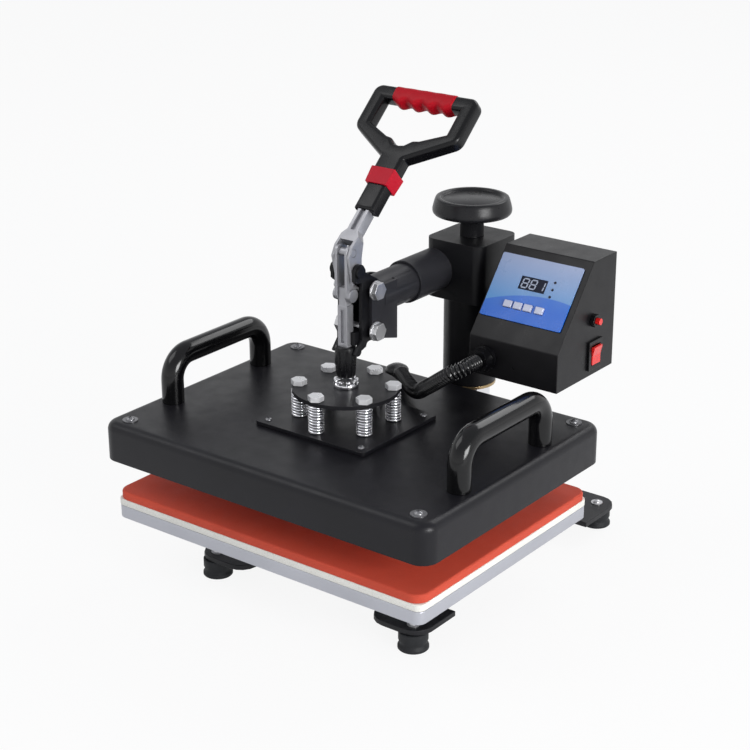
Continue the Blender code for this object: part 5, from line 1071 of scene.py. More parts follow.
@dataclass
class Studio:
    """The camera at the reference view, soft lights and a pale floor.

    Attributes:
        eye: The camera's place.
        azimuth: How far it is turned to the left.
        pitch: How far it looks down.
        roll: How far it is turned about its own axis.
        focal_pixels: Its focal length in pixels of the picture.
        picture: The picture's side in pixels.
        centre: The pixel that its axis meets.
        sensor: The sensor's width in millimetres.
        near: The distance at which it starts to see.
        floor_size: The floor's side.
        floor_colour: The floor's colour.
        floor_glow_share: How far the floor shows white to the camera.
        floor_mirrored: How far it does so in mirrored rays.
        sky: The colour of the even light.
        world_strength: The strength of the even light.
        gloss_band: The rise between which the mirrored brightness falls.
        horizon_gloss: The brightness that is mirrored below it.
        zenith_gloss: The brightness that is mirrored above it.
        aim: The place that the lamps face.
        lamps: Each lamp's name, place, two sides and power in watts.
    """

    eye: Place = (1.0180, -1.34565, 0.8578)
    azimuth: float = math.radians(37.922)
    pitch: float = math.radians(21.379)
    roll: float = math.radians(-0.315)
    focal_pixels: float = 1791.3
    picture: float = 750.0
    centre: tuple[float, float] = (362.41, 375.40)
    sensor: float = 36.0
    near: float = 0.05
    floor_size: float = 24.0
    floor_colour: Colour = (0.86, 0.86, 0.86)
    floor_glow_share: float = 0.90
    floor_mirrored: float = 0.5
    sky: Colour = (0.92, 0.94, 1.0)
    world_strength: float = 0.50
    gloss_band: tuple[float, float] = (0.10, 0.62)
    horizon_gloss: float = 0.85
    zenith_gloss: float = 0.10
    aim: Place = (0.0, 0.0, 0.18)
    lamps: tuple[tuple[str, Place, tuple[float, float], float], ...] = (
        ("key", (-1.5, -1.3, 2.4), (1.6, 1.6), 15.0),
        ("fill", (2.5, -0.7, 0.85), (1.2, 0.9), 46.0),
        ("rim", (0.3, 2.2, 2.2), (2.0, 1.0), 18.0),
    )

    def build(self) -> None:
        """Make the camera, the lights, the floor and the world."""
        self.make_camera()
        self.make_world()
        self.make_floor()
        for lamp in self.lamps:
            self.make_lamp(*lamp)

    def make_camera(self) -> None:
        """Set the camera at the reference view."""
        data = bpy.data.cameras.new("reference_view")
        data.sensor_width = self.sensor
        data.lens = self.focal_pixels / self.picture * self.sensor
        data.shift_x = (self.picture / 2 - self.centre[0]) / self.picture
        data.shift_y = (self.centre[1] - self.picture / 2) / self.picture
        data.clip_start = self.near
        ahead = Vector((-math.sin(self.azimuth) * math.cos(self.pitch),
                        math.cos(self.azimuth) * math.cos(self.pitch),
                        -math.sin(self.pitch)))
        right = Vector((math.cos(self.azimuth), math.sin(self.azimuth), 0.0))
        up = right.cross(ahead)
        turned_right = right * math.cos(self.roll) + up * math.sin(self.roll)
        turned_up = up * math.cos(self.roll) - right * math.sin(self.roll)
        camera = shown("reference_view", data)
        camera.matrix_world = Matrix((
            (turned_right.x, turned_up.x, -ahead.x, self.eye[0]),
            (turned_right.y, turned_up.y, -ahead.y, self.eye[1]),
            (turned_right.z, turned_up.z, -ahead.z, self.eye[2]),
            (0.0, 0.0, 0.0, 1.0),
        ))
        bpy.context.scene.camera = camera
        bpy.context.scene.view_settings.view_transform = "Standard"

    def seen(self, tree: Tree, mirrored: Callable[[bpy.types.NodeSocket], bpy.types.NodeSocket]
             ) -> bpy.types.NodeSocket:
        """Tell how far a ray is the camera's, straight, through glass or mirrored.

        Args:
            tree: The tree of the world or the floor.
            mirrored: What the share of a mirrored ray becomes.

        Returns:
            The share.
        """
        path = tree.add("ShaderNodeLightPath")
        plain = tree.sum("MAXIMUM", path.outputs["Is Camera Ray"],
                         path.outputs["Is Transmission Ray"])
        return tree.sum("MAXIMUM", plain, mirrored(path.outputs["Is Glossy Ray"]))

    def make_world(self) -> None:
        """Light the scene evenly and show plain white behind it."""
        world = bpy.data.worlds.new("studio")
        bpy.context.scene.world = world
        world.use_nodes = True
        tree = Tree(world.node_tree)
        world.node_tree.nodes.clear()
        soft = tree.add("ShaderNodeBackground", {"Color": opaque(self.sky),
                                                 "Strength": self.world_strength})
        plain = tree.add("ShaderNodeBackground", {"Color": WHITE, "Strength": 1.0})
        heading = tree.add("ShaderNodeTexCoord").outputs["Generated"]
        rise = tree.add("ShaderNodeSeparateXYZ", {0: heading}).outputs[2]
        band = tree.ramp(rise, *self.gloss_band, self.horizon_gloss, self.zenith_gloss)
        share = self.seen(tree, lambda glossy: tree.sum("MULTIPLY", glossy, band))
        mix = tree.add("ShaderNodeMixShader", {0: share, 1: soft.outputs[0],
                                               2: plain.outputs[0]})
        tree.add("ShaderNodeOutputWorld", {0: mix.outputs[0]})

    def make_floor(self) -> None:
        """Lay a pale floor that keeps the press's shadow."""
        shape = bmesh.new()
        bmesh.ops.create_grid(shape, x_segments=1, y_segments=1, size=self.floor_size / 2)
        floor = rest("floor", shape)
        material = bpy.data.materials.new("pale_floor")
        material.use_nodes = True
        tree = Tree(material.node_tree)
        material.node_tree.nodes.clear()
        matt = tree.add("ShaderNodeBsdfDiffuse", {"Color": opaque(self.floor_colour)})
        glow = tree.add("ShaderNodeEmission", {"Color": WHITE, "Strength": 1.0})
        seen = self.seen(tree, lambda glossy: tree.sum("MULTIPLY", glossy,
                                                       self.floor_mirrored))
        share = tree.sum("MULTIPLY", seen, self.floor_glow_share)
        mix = tree.add("ShaderNodeMixShader", {0: share, 1: matt.outputs[0],
                                               2: glow.outputs[0]})
        tree.add("ShaderNodeOutputMaterial", {0: mix.outputs[0]})
        floor.data.materials.append(material)

    def make_lamp(self, name: str, place: Place, size: tuple[float, float],
                  power: float) -> None:
        """Hang a soft rectangular lamp that faces the press.

        Args:
            name: The lamp's name.
            place: Where it hangs.
            size: Its two sides.
            power: Its power in watts.
        """
        data = bpy.data.lights.new(name, "AREA")
        data.shape = "RECTANGLE"
        data.size, data.size_y = size
        data.energy = power
        lamp = shown(name, data)
        lamp.location = place
        heading = Vector(self.aim) - Vector(place)
        lamp.rotation_euler = heading.to_track_quat("-Z", "Y").to_euler()


# ---- sub-assemblies


@dataclass
class Base:
    """The footed frame, the risers and the lower platen stack.

    Attributes:
        foot_profile: A foot's outline, as radius and height.
        foot_spread: The feet's distance from the frame's middle.
        foot_rows: The feet's places from front to back.
        frame_middle: The middle of the frame across the press.
        frame_top: The height of the frame's upper face.
        frame_edge: The rounding of the frame's edges.
        riser_edge: The rounding of the risers' edges.
        foot_sides: The number of a foot's facets.
        pad_corner: The radius of the pad's corners.
        pad_crown: The radius along the pad's upper edge.
        sheet_edge: The radius along the pad's lower edge and the board's edges.
        board_corner: The radius of the board's corners.
        plate_corner: The radius of the lower plate's corners.
        plate_edge: The radius along its edges.
        screw_head: The radius of the screws' heads.
        screw_washer: The radius of their washers.
    """

    foot_profile: tuple[tuple[float, float], ...] = (
        (0.0, 0.0187), (0.0138, 0.0187), (0.0145, 0.0180), (0.0145, 0.0100),
        (0.0136, 0.0082), (0.0133, 0.0062), (0.0138, 0.0048), (0.0150, 0.0036),
        (0.0152, 0.0028), (0.0152, 0.0008), (0.0145, 0.0), (0.0112, 0.0),
        (0.0106, 0.0007), (0.0, 0.0007),
    )
    foot_spread: float = 0.124
    foot_rows: tuple[tuple[str, float], ...] = (("front", -0.14525), ("rear", 0.18875))
    frame_middle: float = 0.018
    frame_top: float = 0.0245
    frame_edge: float = 0.0008
    riser_edge: float = 0.0006
    foot_sides: int = 64
    pad_corner: float = 0.014
    pad_crown: float = 0.0022
    sheet_edge: float = 0.0006
    board_corner: float = 0.008
    plate_corner: float = 0.009
    plate_edge: float = 0.0012
    screw_head: float = 0.0042
    screw_washer: float = 0.0062

    def dress(self, dresser: Dresser) -> None:
        """Finish the frame, the feet and the stack."""
        dresser.soften("base_frame", Palette.FRAME_COAT, self.frame_edge, 3)
        for side, side_name in ((-1, "left"), (1, "right")):
            dresser.soften(f"riser_{side_name}", Palette.FRAME_COAT, self.riser_edge)
            for row_name, y in self.foot_rows:
                node = f"foot_{row_name}_{side_name}"
                foot = turned(node + "_turned", self.foot_profile,
                              (self.frame_middle + side * self.foot_spread, y, 0.0),
                              sides=self.foot_sides)
                dresser.put(foot, Body.BASE, Palette.FOOT_RUBBER, node)
        self.stack(dresser)
        self.screws(dresser)

    def stack(self, dresser: Dresser) -> None:
        """Make the lower plate, the board and the silicone pad."""
        low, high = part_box("silicone_pad")
        pad = slab("silicone_pad_sheet", low, high, self.pad_corner, self.pad_crown,
                   self.sheet_edge)
        dresser.put(pad, Body.BASE, Palette.SILICONE, "silicone_pad")
        low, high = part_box("insulation_board")
        board = slab("pressed_board_sheet", low, high, self.board_corner, self.sheet_edge,
                     self.sheet_edge, 4)
        dresser.put(board, Body.BASE, Palette.BOARD, "insulation_board")
        low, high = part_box("lower_plate")
        plate_piece = slab("lower_plate_machined", low, high, self.plate_corner,
                           self.plate_edge, self.plate_edge, 4)
        dresser.put(plate_piece, Body.BASE, Palette.ALLOY, "lower_plate")

    def screws(self, dresser: Dresser) -> None:
        """Set the screws that hold the feet and the risers to the frame."""
        places = [(self.frame_middle + side * self.foot_spread, y, self.frame_top)
                  for side in (-1, 1) for _, y in self.foot_rows]
        screws = ScrewSet("foot_screws", places, head=self.screw_head,
                          washer=self.screw_washer)
        dresser.put(screws.build(dresser.palette), Body.BASE, None)


@dataclass
class Column:
    """The post, its bush, the head block, the arm and the pressure knob.

    Attributes:
        axis: The column's middle across the press and from front to back.
        painted_light_boss_front: The front face of the head block, which the arm's socket stands
            on; the socket's faces in front of it take the arm's lighter coat, painted light that
            makes them show as bright as the arm.
        channel_foot: The height of the lower edge of the arm's channel.
        channel_rear: The rear of the channel.
        channel_slope: How steeply its lower edge rises to the front.
        knob_profile: The knob's outline, as radius and height.
        knob_sides: The number of the knob's facets.
        knob_smooth: The angle above which an edge of the knob stays sharp.
        softened: The nodes that show with rounded edges, as the dresser takes them.
    """

    axis: tuple[float, float] = (0.018, 0.12275)
    painted_light_boss_front: float = 0.0860
    channel_foot: float = 0.2402
    channel_rear: float = 0.00375
    channel_slope: float = 0.28
    knob_profile: tuple[tuple[float, float], ...] = (
        (0.0, 0.3578), (0.0292, 0.3578), (0.0300, 0.3574), (0.0308, 0.3576),
        (0.0316, 0.3590), (0.0326, 0.3598), (0.0340, 0.3600), (0.0366, 0.3598),
        (0.0376, 0.3593), (0.0382, 0.3582), (0.0390, 0.3560), (0.0402, 0.3516),
        (0.0410, 0.3480), (0.0410, 0.3458), (0.0405, 0.3440), (0.0394, 0.3426),
        (0.0378, 0.3420), (0.0190, 0.3420), (0.0182, 0.3416),
        (0.0165, 0.3414), (0.0165, 0.3358), (0.0158, 0.3350), (0.0128, 0.3350),
        (0.0123, 0.3344), (0.0123, 0.3193), (0.0, 0.3193),
    )
    knob_sides: int = 128
    knob_smooth: float = math.radians(50)
    softened: tuple[Softened, ...] = (
        ("sleeve_bush", Palette.BRONZE, 0.0003, 2),
        ("column_head", Palette.COAT, 0.0010, 3),
        ("arm", Palette.ARM_COAT_AND_BOSS_LIGHT, 0.0006, 2),
    )

    def dress(self, dresser: Dresser) -> None:
        """Finish the column's pieces."""
        dresser.paint("column_post", Palette.CHROME)
        dresser.paint("pressure_screw", Palette.ZINC)
        pieces = dresser.soften_all(self.softened, {"arm": self.slope_channel})
        head = pieces["column_head"]
        dresser.coat(head, Palette.COAT, Palette.ARM_COAT_AND_BOSS_LIGHT)
        # Painted light: the boss faces in front of the head block take the arm's lighter coat, so
        # they show as lit as the arm.
        for face in head.data.polygons:
            if face.center.y < self.painted_light_boss_front:
                face.material_index = 1
        knob = turned("pressure_knob_moulded", self.knob_profile, (*self.axis, 0.0),
                      sides=self.knob_sides, smooth=self.knob_smooth)
        dresser.put(knob, Body.KNOB, Palette.KNOB, "pressure_knob")

    def slope_channel(self, point: Vector) -> Vector:
        """Return a point of the arm's channel with its lower edge raised to the front."""
        if point.z > self.channel_foot or point.y > self.channel_rear + LEEWAY:
            return point
        rise = (self.channel_rear - point.y) * self.channel_slope
        return Vector((point.x, point.y, point.z + rise))


@dataclass
class Toggle:
    """The bracket plates, bolts, links and push rod of the toggle.

    Attributes:
        nose: The height of a bracket's nose, under its eye.
        eye_front: The front of a bracket's plain plate.
        eye_rear: The rear of its eye.
        tongue_top: The height below which only its tongue is left.
        draw_back: How far its front edge is drawn back from the rod.
        rear_fall: The slope of its upper edge behind the eye.
        flutes: The number of flutes round the rod's socket.
        socket_facets: The number of facets round it.
        socket_stations: Along it, the share of its height, how far its side is drawn in
            and how deep its flutes are.
        softened: The nodes that show with rounded edges, as the dresser takes them.
    """

    nose: float = 0.3120
    eye_front: float = -0.0570
    eye_rear: float = -0.0480
    tongue_top: float = 0.2440
    draw_back: float = 0.0080
    rear_fall: float = 0.62
    flutes: int = 8
    socket_facets: int = 96
    socket_stations: tuple[tuple[float, float, float], ...] = (
        (0.0, 0.0028, 0.0), (0.02, 0.0020, 0.0), (0.06, 0.0016, 0.0010),
        (0.20, 0.0010, 0.0012), (0.45, 0.0002, 0.0012), (0.70, 0.0, 0.0011),
        (0.86, 0.0003, 0.0008), (0.92, 0.0006, 0.0), (0.98, 0.0010, 0.0),
        (1.0, 0.0018, 0.0),
    )
    softened: tuple[Softened, ...] = (
        ("bracket_left", Palette.COAT, 0.0005, 2), ("link_left", Palette.ZINC, 0.0005, 2),
        ("bracket_right", Palette.COAT, 0.0005, 2), ("link_right", Palette.ZINC, 0.0005, 2),
        ("rod_guide", Palette.COAT, 0.0005, 2),
        ("bracket_bolt_lower", Palette.BOLT_ZINC, 0.0006, 3),
        ("bracket_bolt_upper", Palette.BOLT_ZINC, 0.0006, 3),
        ("push_rod", Palette.ZINC, 0.0007, 3), ("crank_pin", Palette.ZINC, 0.0003, 2),
    )

    def dress(self, dresser: Dresser) -> None:
        """Finish the toggle's pieces."""
        dresser.soften_all(self.softened, {"bracket_left": self.slim_bracket,
                                           "bracket_right": self.slim_bracket})
        dresser.put(self.socket(), Body.ROD, Palette.MOULDED, "rod_socket")

    def slim_bracket(self, point: Vector) -> Vector:
        """Return a bracket point drawn back from the rod and down at the rear."""
        y, z = point.y, point.z
        if z > self.nose and y > self.eye_rear:
            return Vector((point.x, y, z - (y - self.eye_rear) * self.rear_fall))
        if z < self.tongue_top:
            return Vector((point.x, y - self.draw_back, z))
        if z < self.nose and y < self.eye_front:
            return Vector((point.x, y + self.draw_back, z))
        return point

    def socket(self) -> bpy.types.Object:
        """Return the fluted socket under the push rod."""
        low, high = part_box("rod_socket")
        middle = (low + high) / 2
        wide = (high.x - low.x) / 2
        tall = high.z - low.z
        sections = []
        for share, draw, bite in self.socket_stations:
            ring = []
            for facet in range(self.socket_facets):
                angle = math.tau * facet / self.socket_facets
                flute = max(0.0, math.cos(self.flutes * angle)) ** 2 * bite
                radius = wide - draw - flute
                ring.append(Vector((middle.x + radius * math.cos(angle),
                                    middle.y + radius * math.sin(angle),
                                    low.z + share * tall)))
            sections.append(ring)
        return rings("rod_socket_fluted", sections)


@dataclass
class Lever:
    """The lever with its D handle, collar and grip, along its own line.

    Attributes:
        pin: The crank pin, where the lever's line starts.
        lean: How far the line leans back.
        channel_edge: The rounding of the channel's edges.
        collar_edge: The rounding of the collar's edges.
        grip_half: Half the length of the grip.
        grip_low: The grip's lower side along the line.
        grip_high: Its upper side.
        grip_depth: Its depth from front to back.
        grip_end: The radius of its ends.
        grip_fullness: The power that squares its round section.
        grip_stations: The number of its sections.
        grip_facets: The number of facets round it.
        finger_bite: How deep the finger scallops are.
        fingers: How many there are.
        handle_depth: The thickness of the D handle.
        handle_edge: The radius of its edges.
        shoulder_side: The half width outside which the crank's shoulder lies.
        shoulder_low: The lower limit of the shoulder along the line.
        shoulder_high: Its upper limit.
        shoulder_drop: How far it is lowered.
        hollow_top: The height under which the crank's front edge is hollowed.
        hollow_front: The place in front of which it is.
        hollow_depth: How deep the hollow is.
    """

    pin: Place = (-0.004, -0.06025, 0.3425)
    lean: float = math.radians(47.5)
    channel_edge: float = 0.0005
    collar_edge: float = 0.0016
    grip_half: float = 0.0365
    grip_low: float = 0.1690
    grip_high: float = 0.1888
    grip_depth: float = 0.0193
    grip_end: float = 0.0016
    grip_fullness: float = 0.62
    grip_stations: int = 72
    grip_facets: int = 40
    finger_bite: float = 0.00342
    fingers: int = 4
    handle_depth: float = 0.0165
    handle_edge: float = 0.0046
    shoulder_side: float = 0.0074
    shoulder_low: float = 0.0195
    shoulder_high: float = 0.0225
    shoulder_drop: float = 0.0060
    hollow_top: float = 0.3300
    hollow_front: float = -0.0665
    hollow_depth: float = 0.0048

    def seat(self) -> Matrix:
        """Return the matrix from the lever's frame to the model's."""
        return Matrix.Translation(self.pin) @ Matrix.Rotation(-self.lean, 4, "X")

    def upright(self) -> Matrix:
        """Return the matrix from a plane across and along the lever."""
        return self.seat() @ Matrix.Rotation(math.pi / 2, 4, "X")

    def dress(self, dresser: Dresser) -> None:
        """Finish the lever's pieces."""
        dresser.soften("lever_channel", Palette.ZINC, self.channel_edge, trim=self.slim_cheek)
        handle = plate("handle_frame_moulded", self.outline(), self.handle_depth,
                       self.upright(), self.handle_edge, 6)
        dresser.put(handle, Body.LEVER, Palette.MOULDED, "handle_frame")
        dresser.put(self.grip(), Body.LEVER, Palette.RED_GRIP, "red_grip")
        dresser.soften("red_collar", Palette.RED_COLLAR, self.collar_edge, 4)

    def slim_cheek(self, point: Vector) -> Vector:
        """Return a point of the crank with a lower shoulder and a hollowed front."""
        local = self.seat().inverted() @ point
        if abs(local.x) > self.shoulder_side and local.z > self.shoulder_low:
            if local.z < self.shoulder_high:
                local.z -= self.shoulder_drop
            return self.seat() @ local
        if point.z < self.hollow_top and point.y < self.hollow_front:
            return point + Vector((0.0, self.hollow_depth, 0.0))
        return point

    def outline(self) -> list[Vector]:
        """Return the D handle's outline, drawn in by its rounded edge."""
        inset = self.handle_edge
        slant = inset / 2
        right = [
            (0.0118 - inset, 0.046 + inset, 0.0), (0.0118 - inset, 0.074, 0.0),
            (0.0145 - inset, 0.093, 0.0), (0.0145 - inset, 0.108 + slant, 0.006),
            (0.0625 - inset, 0.1365 + slant, 0.007), (0.0625 - inset, 0.188 - inset, 0.005),
            (0.0300, 0.188 - inset, 0.0), (0.0300, 0.1725 + inset, 0.0),
            (0.0460 + inset, 0.1725 + inset, 0.002), (0.0460 + inset, 0.1445 - inset, 0.004),
            (0.0215, 0.131 - inset, 0.003), (0.0150, 0.1300 - inset, 0.002),
            (0.0080, 0.1238 - inset, 0.003), (0.0, 0.1222 - inset, 0.0),
        ]
        left = [(-x, s, radius) for x, s, radius in reversed(right[:-1])]
        return rounded(right + left, 10)

    def grip(self) -> bpy.types.Object:
        """Return the red grip with its finger scallops."""
        sections = []
        seat = self.seat()
        for index in range(self.grip_stations + 1):
            share = index / self.grip_stations
            x = -self.grip_half + 2 * self.grip_half * share
            draw = self.end_draw(share)
            wave = 0.5 - 0.5 * math.cos(math.tau * self.fingers * share)
            low = self.grip_low + self.finger_bite * (1.0 - wave) + draw
            high = self.grip_high - draw
            half = self.grip_depth / 2 - draw
            middle = (low + high) / 2
            tall = (high - low) / 2
            ring = []
            for facet in range(self.grip_facets):
                angle = math.tau * facet / self.grip_facets
                across = self.squared(math.cos(angle)) * half
                rise = self.squared(math.sin(angle)) * tall
                ring.append(seat @ Vector((x, across, middle + rise)))
            sections.append(ring)
        return rings("red_grip_moulded", sections, smooth=math.radians(60))

    def squared(self, value: float) -> float:
        """Return a sine or cosine pushed outward, for a squarer section."""
        return math.copysign(abs(value) ** self.grip_fullness, value)

    def end_draw(self, share: float) -> float:
        """Return how far the grip is drawn in near its ends."""
        edge = min(share, 1.0 - share) * 2 * self.grip_half
        reach = self.grip_end
        if edge >= reach:
            return 0.0
        return reach - math.sqrt(max(0.0, reach * reach - (reach - edge) ** 2))


@dataclass
class SpringUnit:
    """The spring plate, the springs and their bolts, and the centre nut.

    Attributes:
        axis: The unit's middle.
        ring: The radius of the bolt circle.
        low: The height of the mount plate's top.
        high: The height of the spring plate's underside.
        count: The number of springs.
        coil_radius: The radius of a spring's centre line.
        wire: The wire's radius.
        turns: The number of free turns.
        end_gap: The gap between a spring's end and the plate.
        plate_top: The height of the spring plate's top.
        plate_edge: The rounding of the spring plate's edges.
        mount_edge: The rounding of the mount plate's edges.
        crown_radius: The outer radius of the centre nut.
        crown_wall: The thickness of its wall.
        crown_swell: How far its base stands out.
        crown_base: The height of its base.
        crown_top: The height of its teeth.
        crown_teeth: The number of its teeth.
        tooth_half: Half the width of a tooth.
        nut_gap: The gap under the nut.
    """

    axis: tuple[float, float] = (-0.004, -0.06025)
    ring: float = 0.047
    low: float = 0.1703
    high: float = 0.1996
    count: int = 6
    coil_radius: float = 0.0069
    wire: float = 0.00118
    turns: float = 9.0
    end_gap: float = 0.0003
    plate_top: float = 0.2036
    plate_edge: float = 0.0006
    mount_edge: float = 0.0004
    crown_radius: float = 0.0122
    crown_wall: float = 0.0030
    crown_swell: float = 0.0003
    crown_base: float = 0.0042
    crown_top: float = 0.0082
    crown_teeth: int = 9
    tooth_half: float = 0.0021
    nut_gap: float = 0.0002

    def places(self, height: float) -> list[Place]:
        """Return the bolt places at a height."""
        found = []
        for index in range(self.count):
            angle = math.tau * (index + 0.5) / self.count
            found.append((self.axis[0] + self.ring * math.cos(angle),
                          self.axis[1] + self.ring * math.sin(angle), height))
        return found

    def dress(self, dresser: Dresser) -> None:
        """Finish the spring unit's pieces."""
        bottom = self.low + self.end_gap + self.wire
        tall = self.high - self.low - 2 * (self.end_gap + self.wire)
        springs = SpringSet("press_springs", self.places(bottom), self.coil_radius, self.wire,
                            tall, self.turns).build(dresser.palette)
        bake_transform(springs)
        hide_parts(*[f"spring_{index + 1}" for index in range(self.count)])
        dresser.soften("spring_plate", Palette.COVER_COAT, self.plate_edge)
        self.bolts(dresser)
        dresser.put(self.crown(), Body.ROD, Palette.CHROME, "centre_nut")

    def crown(self) -> bpy.types.Object:
        """Return the castellated nut at the middle of the spring plate."""
        place = (*self.axis, self.plate_top + self.nut_gap)
        outer, inner = self.crown_radius, self.crown_radius - self.crown_wall
        swell = outer + self.crown_swell
        base = ((inner, 0.0), (outer, 0.0), (swell, 0.0008), (swell, self.crown_base - 0.0006),
                (outer, self.crown_base), (inner, self.crown_base))
        pieces = [turned("crown_base", base, place, hollow=True)]
        for index in range(self.crown_teeth):
            tooth = slab("crown_tooth",
                         (inner + 0.0001, -self.tooth_half, self.crown_base - 0.001),
                         (outer, self.tooth_half, self.crown_top), 0.0006, 0.0007, 0.0, 3)
            turn = Matrix.Rotation(math.tau * index / self.crown_teeth, 4, "Z")
            tooth.data.transform(Matrix.Translation(place) @ turn)
            pieces.append(tooth)
        return merged("centre_nut_castellated", pieces)

    def bolts(self, dresser: Dresser) -> None:
        """Split the mount plate from its bright bolts by height."""
        item = dresser.soften("mount_plate", Palette.COVER_COAT, self.mount_edge)
        dresser.coat(item, Palette.COVER_COAT, Palette.STUD_HEAD, Palette.THREAD)
        for face in item.data.polygons:
            height = face.center.z
            if height > self.high:
                face.material_index = 1
            elif height > self.low + 0.00002:
                face.material_index = 2


@dataclass
class HeatPlaten:
    """The cover, the platen under it, its handles, gland and screws.

    Attributes:
        corner: The radius of the cover's corners.
        crown: The radius along its upper edge.
        wall: The thickness of its wall.
        cover_top: The height of its top.
        platen_edge: The rounding of the heat platen's edges.
        gland_edge: The rounding of the gland's edges.
        handle_x: The handles' distance from the middle.
        handle_span: Half the distance between a handle's posts.
        handle_middle: The middle of a handle from front to back.
        handle_foot: The height of its feet.
        handle_top: The height of its upper bar's middle.
        handle_bend: The radius of its bends.
        handle_radius: The radius of its bar.
        handle_sides: The number of facets round its bar.
        handle_steps: The number of facets along each bend.
        corner_inset: The corner screws' distances from the cover's sides.
        corner_head: The radius of their heads.
        corner_washer: The radius of their washers.
        mount_top: The height of the mount plate's top.
        mount_screws: The places of its screws.
        mount_head: The radius of their heads.
    """

    corner: float = 0.017
    crown: float = 0.009
    wall: float = 0.0018
    cover_top: float = 0.1660
    platen_edge: float = 0.0006
    gland_edge: float = 0.0005
    handle_x: float = 0.178
    handle_span: float = 0.068
    handle_middle: float = -0.05725
    handle_foot: float = 0.1663
    handle_top: float = 0.2135
    handle_bend: float = 0.024
    handle_radius: float = 0.0115
    handle_sides: int = 48
    handle_steps: int = 14
    corner_inset: tuple[float, float] = (0.023, 0.019)
    corner_head: float = 0.0046
    corner_washer: float = 0.0078
    mount_top: float = 0.1703
    mount_screws: tuple[tuple[float, float], ...] = (
        (-0.062, -0.111), (0.054, -0.111), (-0.062, -0.0095), (0.054, -0.0095),
    )
    mount_head: float = 0.0034

    def dress(self, dresser: Dresser) -> None:
        """Finish the platen's pieces."""
        self.cover(dresser)
        dresser.soften("heat_platen", Palette.PLATEN, self.platen_edge)
        for side, side_name in ((-1, "left"), (1, "right")):
            handle = self.handle(side, f"carry_handle_{side_name}_dipped")
            dresser.put(handle, Body.PLATEN, Palette.GLOSS_COAT, f"carry_handle_{side_name}")
        dresser.soften("cable_gland", Palette.MOULDED, self.gland_edge)
        self.screws(dresser)

    def cover(self, dresser: Dresser) -> None:
        """Make the pressed cover with a real wall."""
        low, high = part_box("platen_cover")
        outer = slab("platen_cover_pressed", low, high, self.corner, self.crown, 0.0, 10)
        inner_low = (low.x + self.wall, low.y + self.wall, low.z - self.wall)
        inner_high = (high.x - self.wall, high.y - self.wall, high.z - self.wall)
        inner = slab("cover_hollow", inner_low, inner_high, self.corner - self.wall,
                     self.crown - self.wall, 0.0, 10)
        cut = outer.modifiers.new("hollow", "BOOLEAN")
        cut.operation = "DIFFERENCE"
        cut.solver = "EXACT"
        cut.object = inner
        settle(outer)
        bpy.data.objects.remove(inner, do_unlink=True)
        outer.data.set_sharp_from_angle(angle=SHARP_ANGLE)
        dresser.put(outer, Body.PLATEN, Palette.COVER_COAT, "platen_cover")

    def handle(self, side: int, name: str) -> bpy.types.Object:
        """Return one carry handle.

        Args:
            side: -1 for the left and 1 for the right.
            name: The piece's name.

        Returns:
            The handle.
        """
        x = side * self.handle_x
        steps = self.handle_steps
        points = [Vector((x, self.handle_middle - self.handle_span, self.handle_foot))]
        for centre, start in ((-self.handle_span + self.handle_bend, math.pi),
                              (self.handle_span - self.handle_bend, math.pi / 2)):
            for step in range(steps + 1):
                angle = start - math.pi / 2 * step / steps
                points.append(Vector((
                    x, self.handle_middle + centre + self.handle_bend * math.cos(angle),
                    self.handle_top - self.handle_bend + self.handle_bend * math.sin(angle))))
        points.append(Vector((x, self.handle_middle + self.handle_span, self.handle_foot)))
        return pipe(name, points, self.handle_radius, self.handle_sides)

    def screws(self, dresser: Dresser) -> None:
        """Set the screws of the cover's corners and of the mount plate."""
        low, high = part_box("platen_cover")
        inset_x, inset_y = self.corner_inset
        corners = [(x, y, self.cover_top) for x in (low.x + inset_x, high.x - inset_x)
                   for y in (low.y + inset_y, high.y - inset_y)]
        cover = ScrewSet("cover_screws", corners, head=self.corner_head,
                         washer=self.corner_washer)
        dresser.put(cover.build(dresser.palette, Palette.DULL_SCREW), Body.PLATEN, None)
        mount = ScrewSet("mount_screws", [(x, y, self.mount_top) for x, y in self.mount_screws],
                         head=self.mount_head, washer=0.0, washer_height=0.0)
        dresser.put(mount.build(dresser.palette, Palette.DULL_SCREW), Body.PLATEN, None)


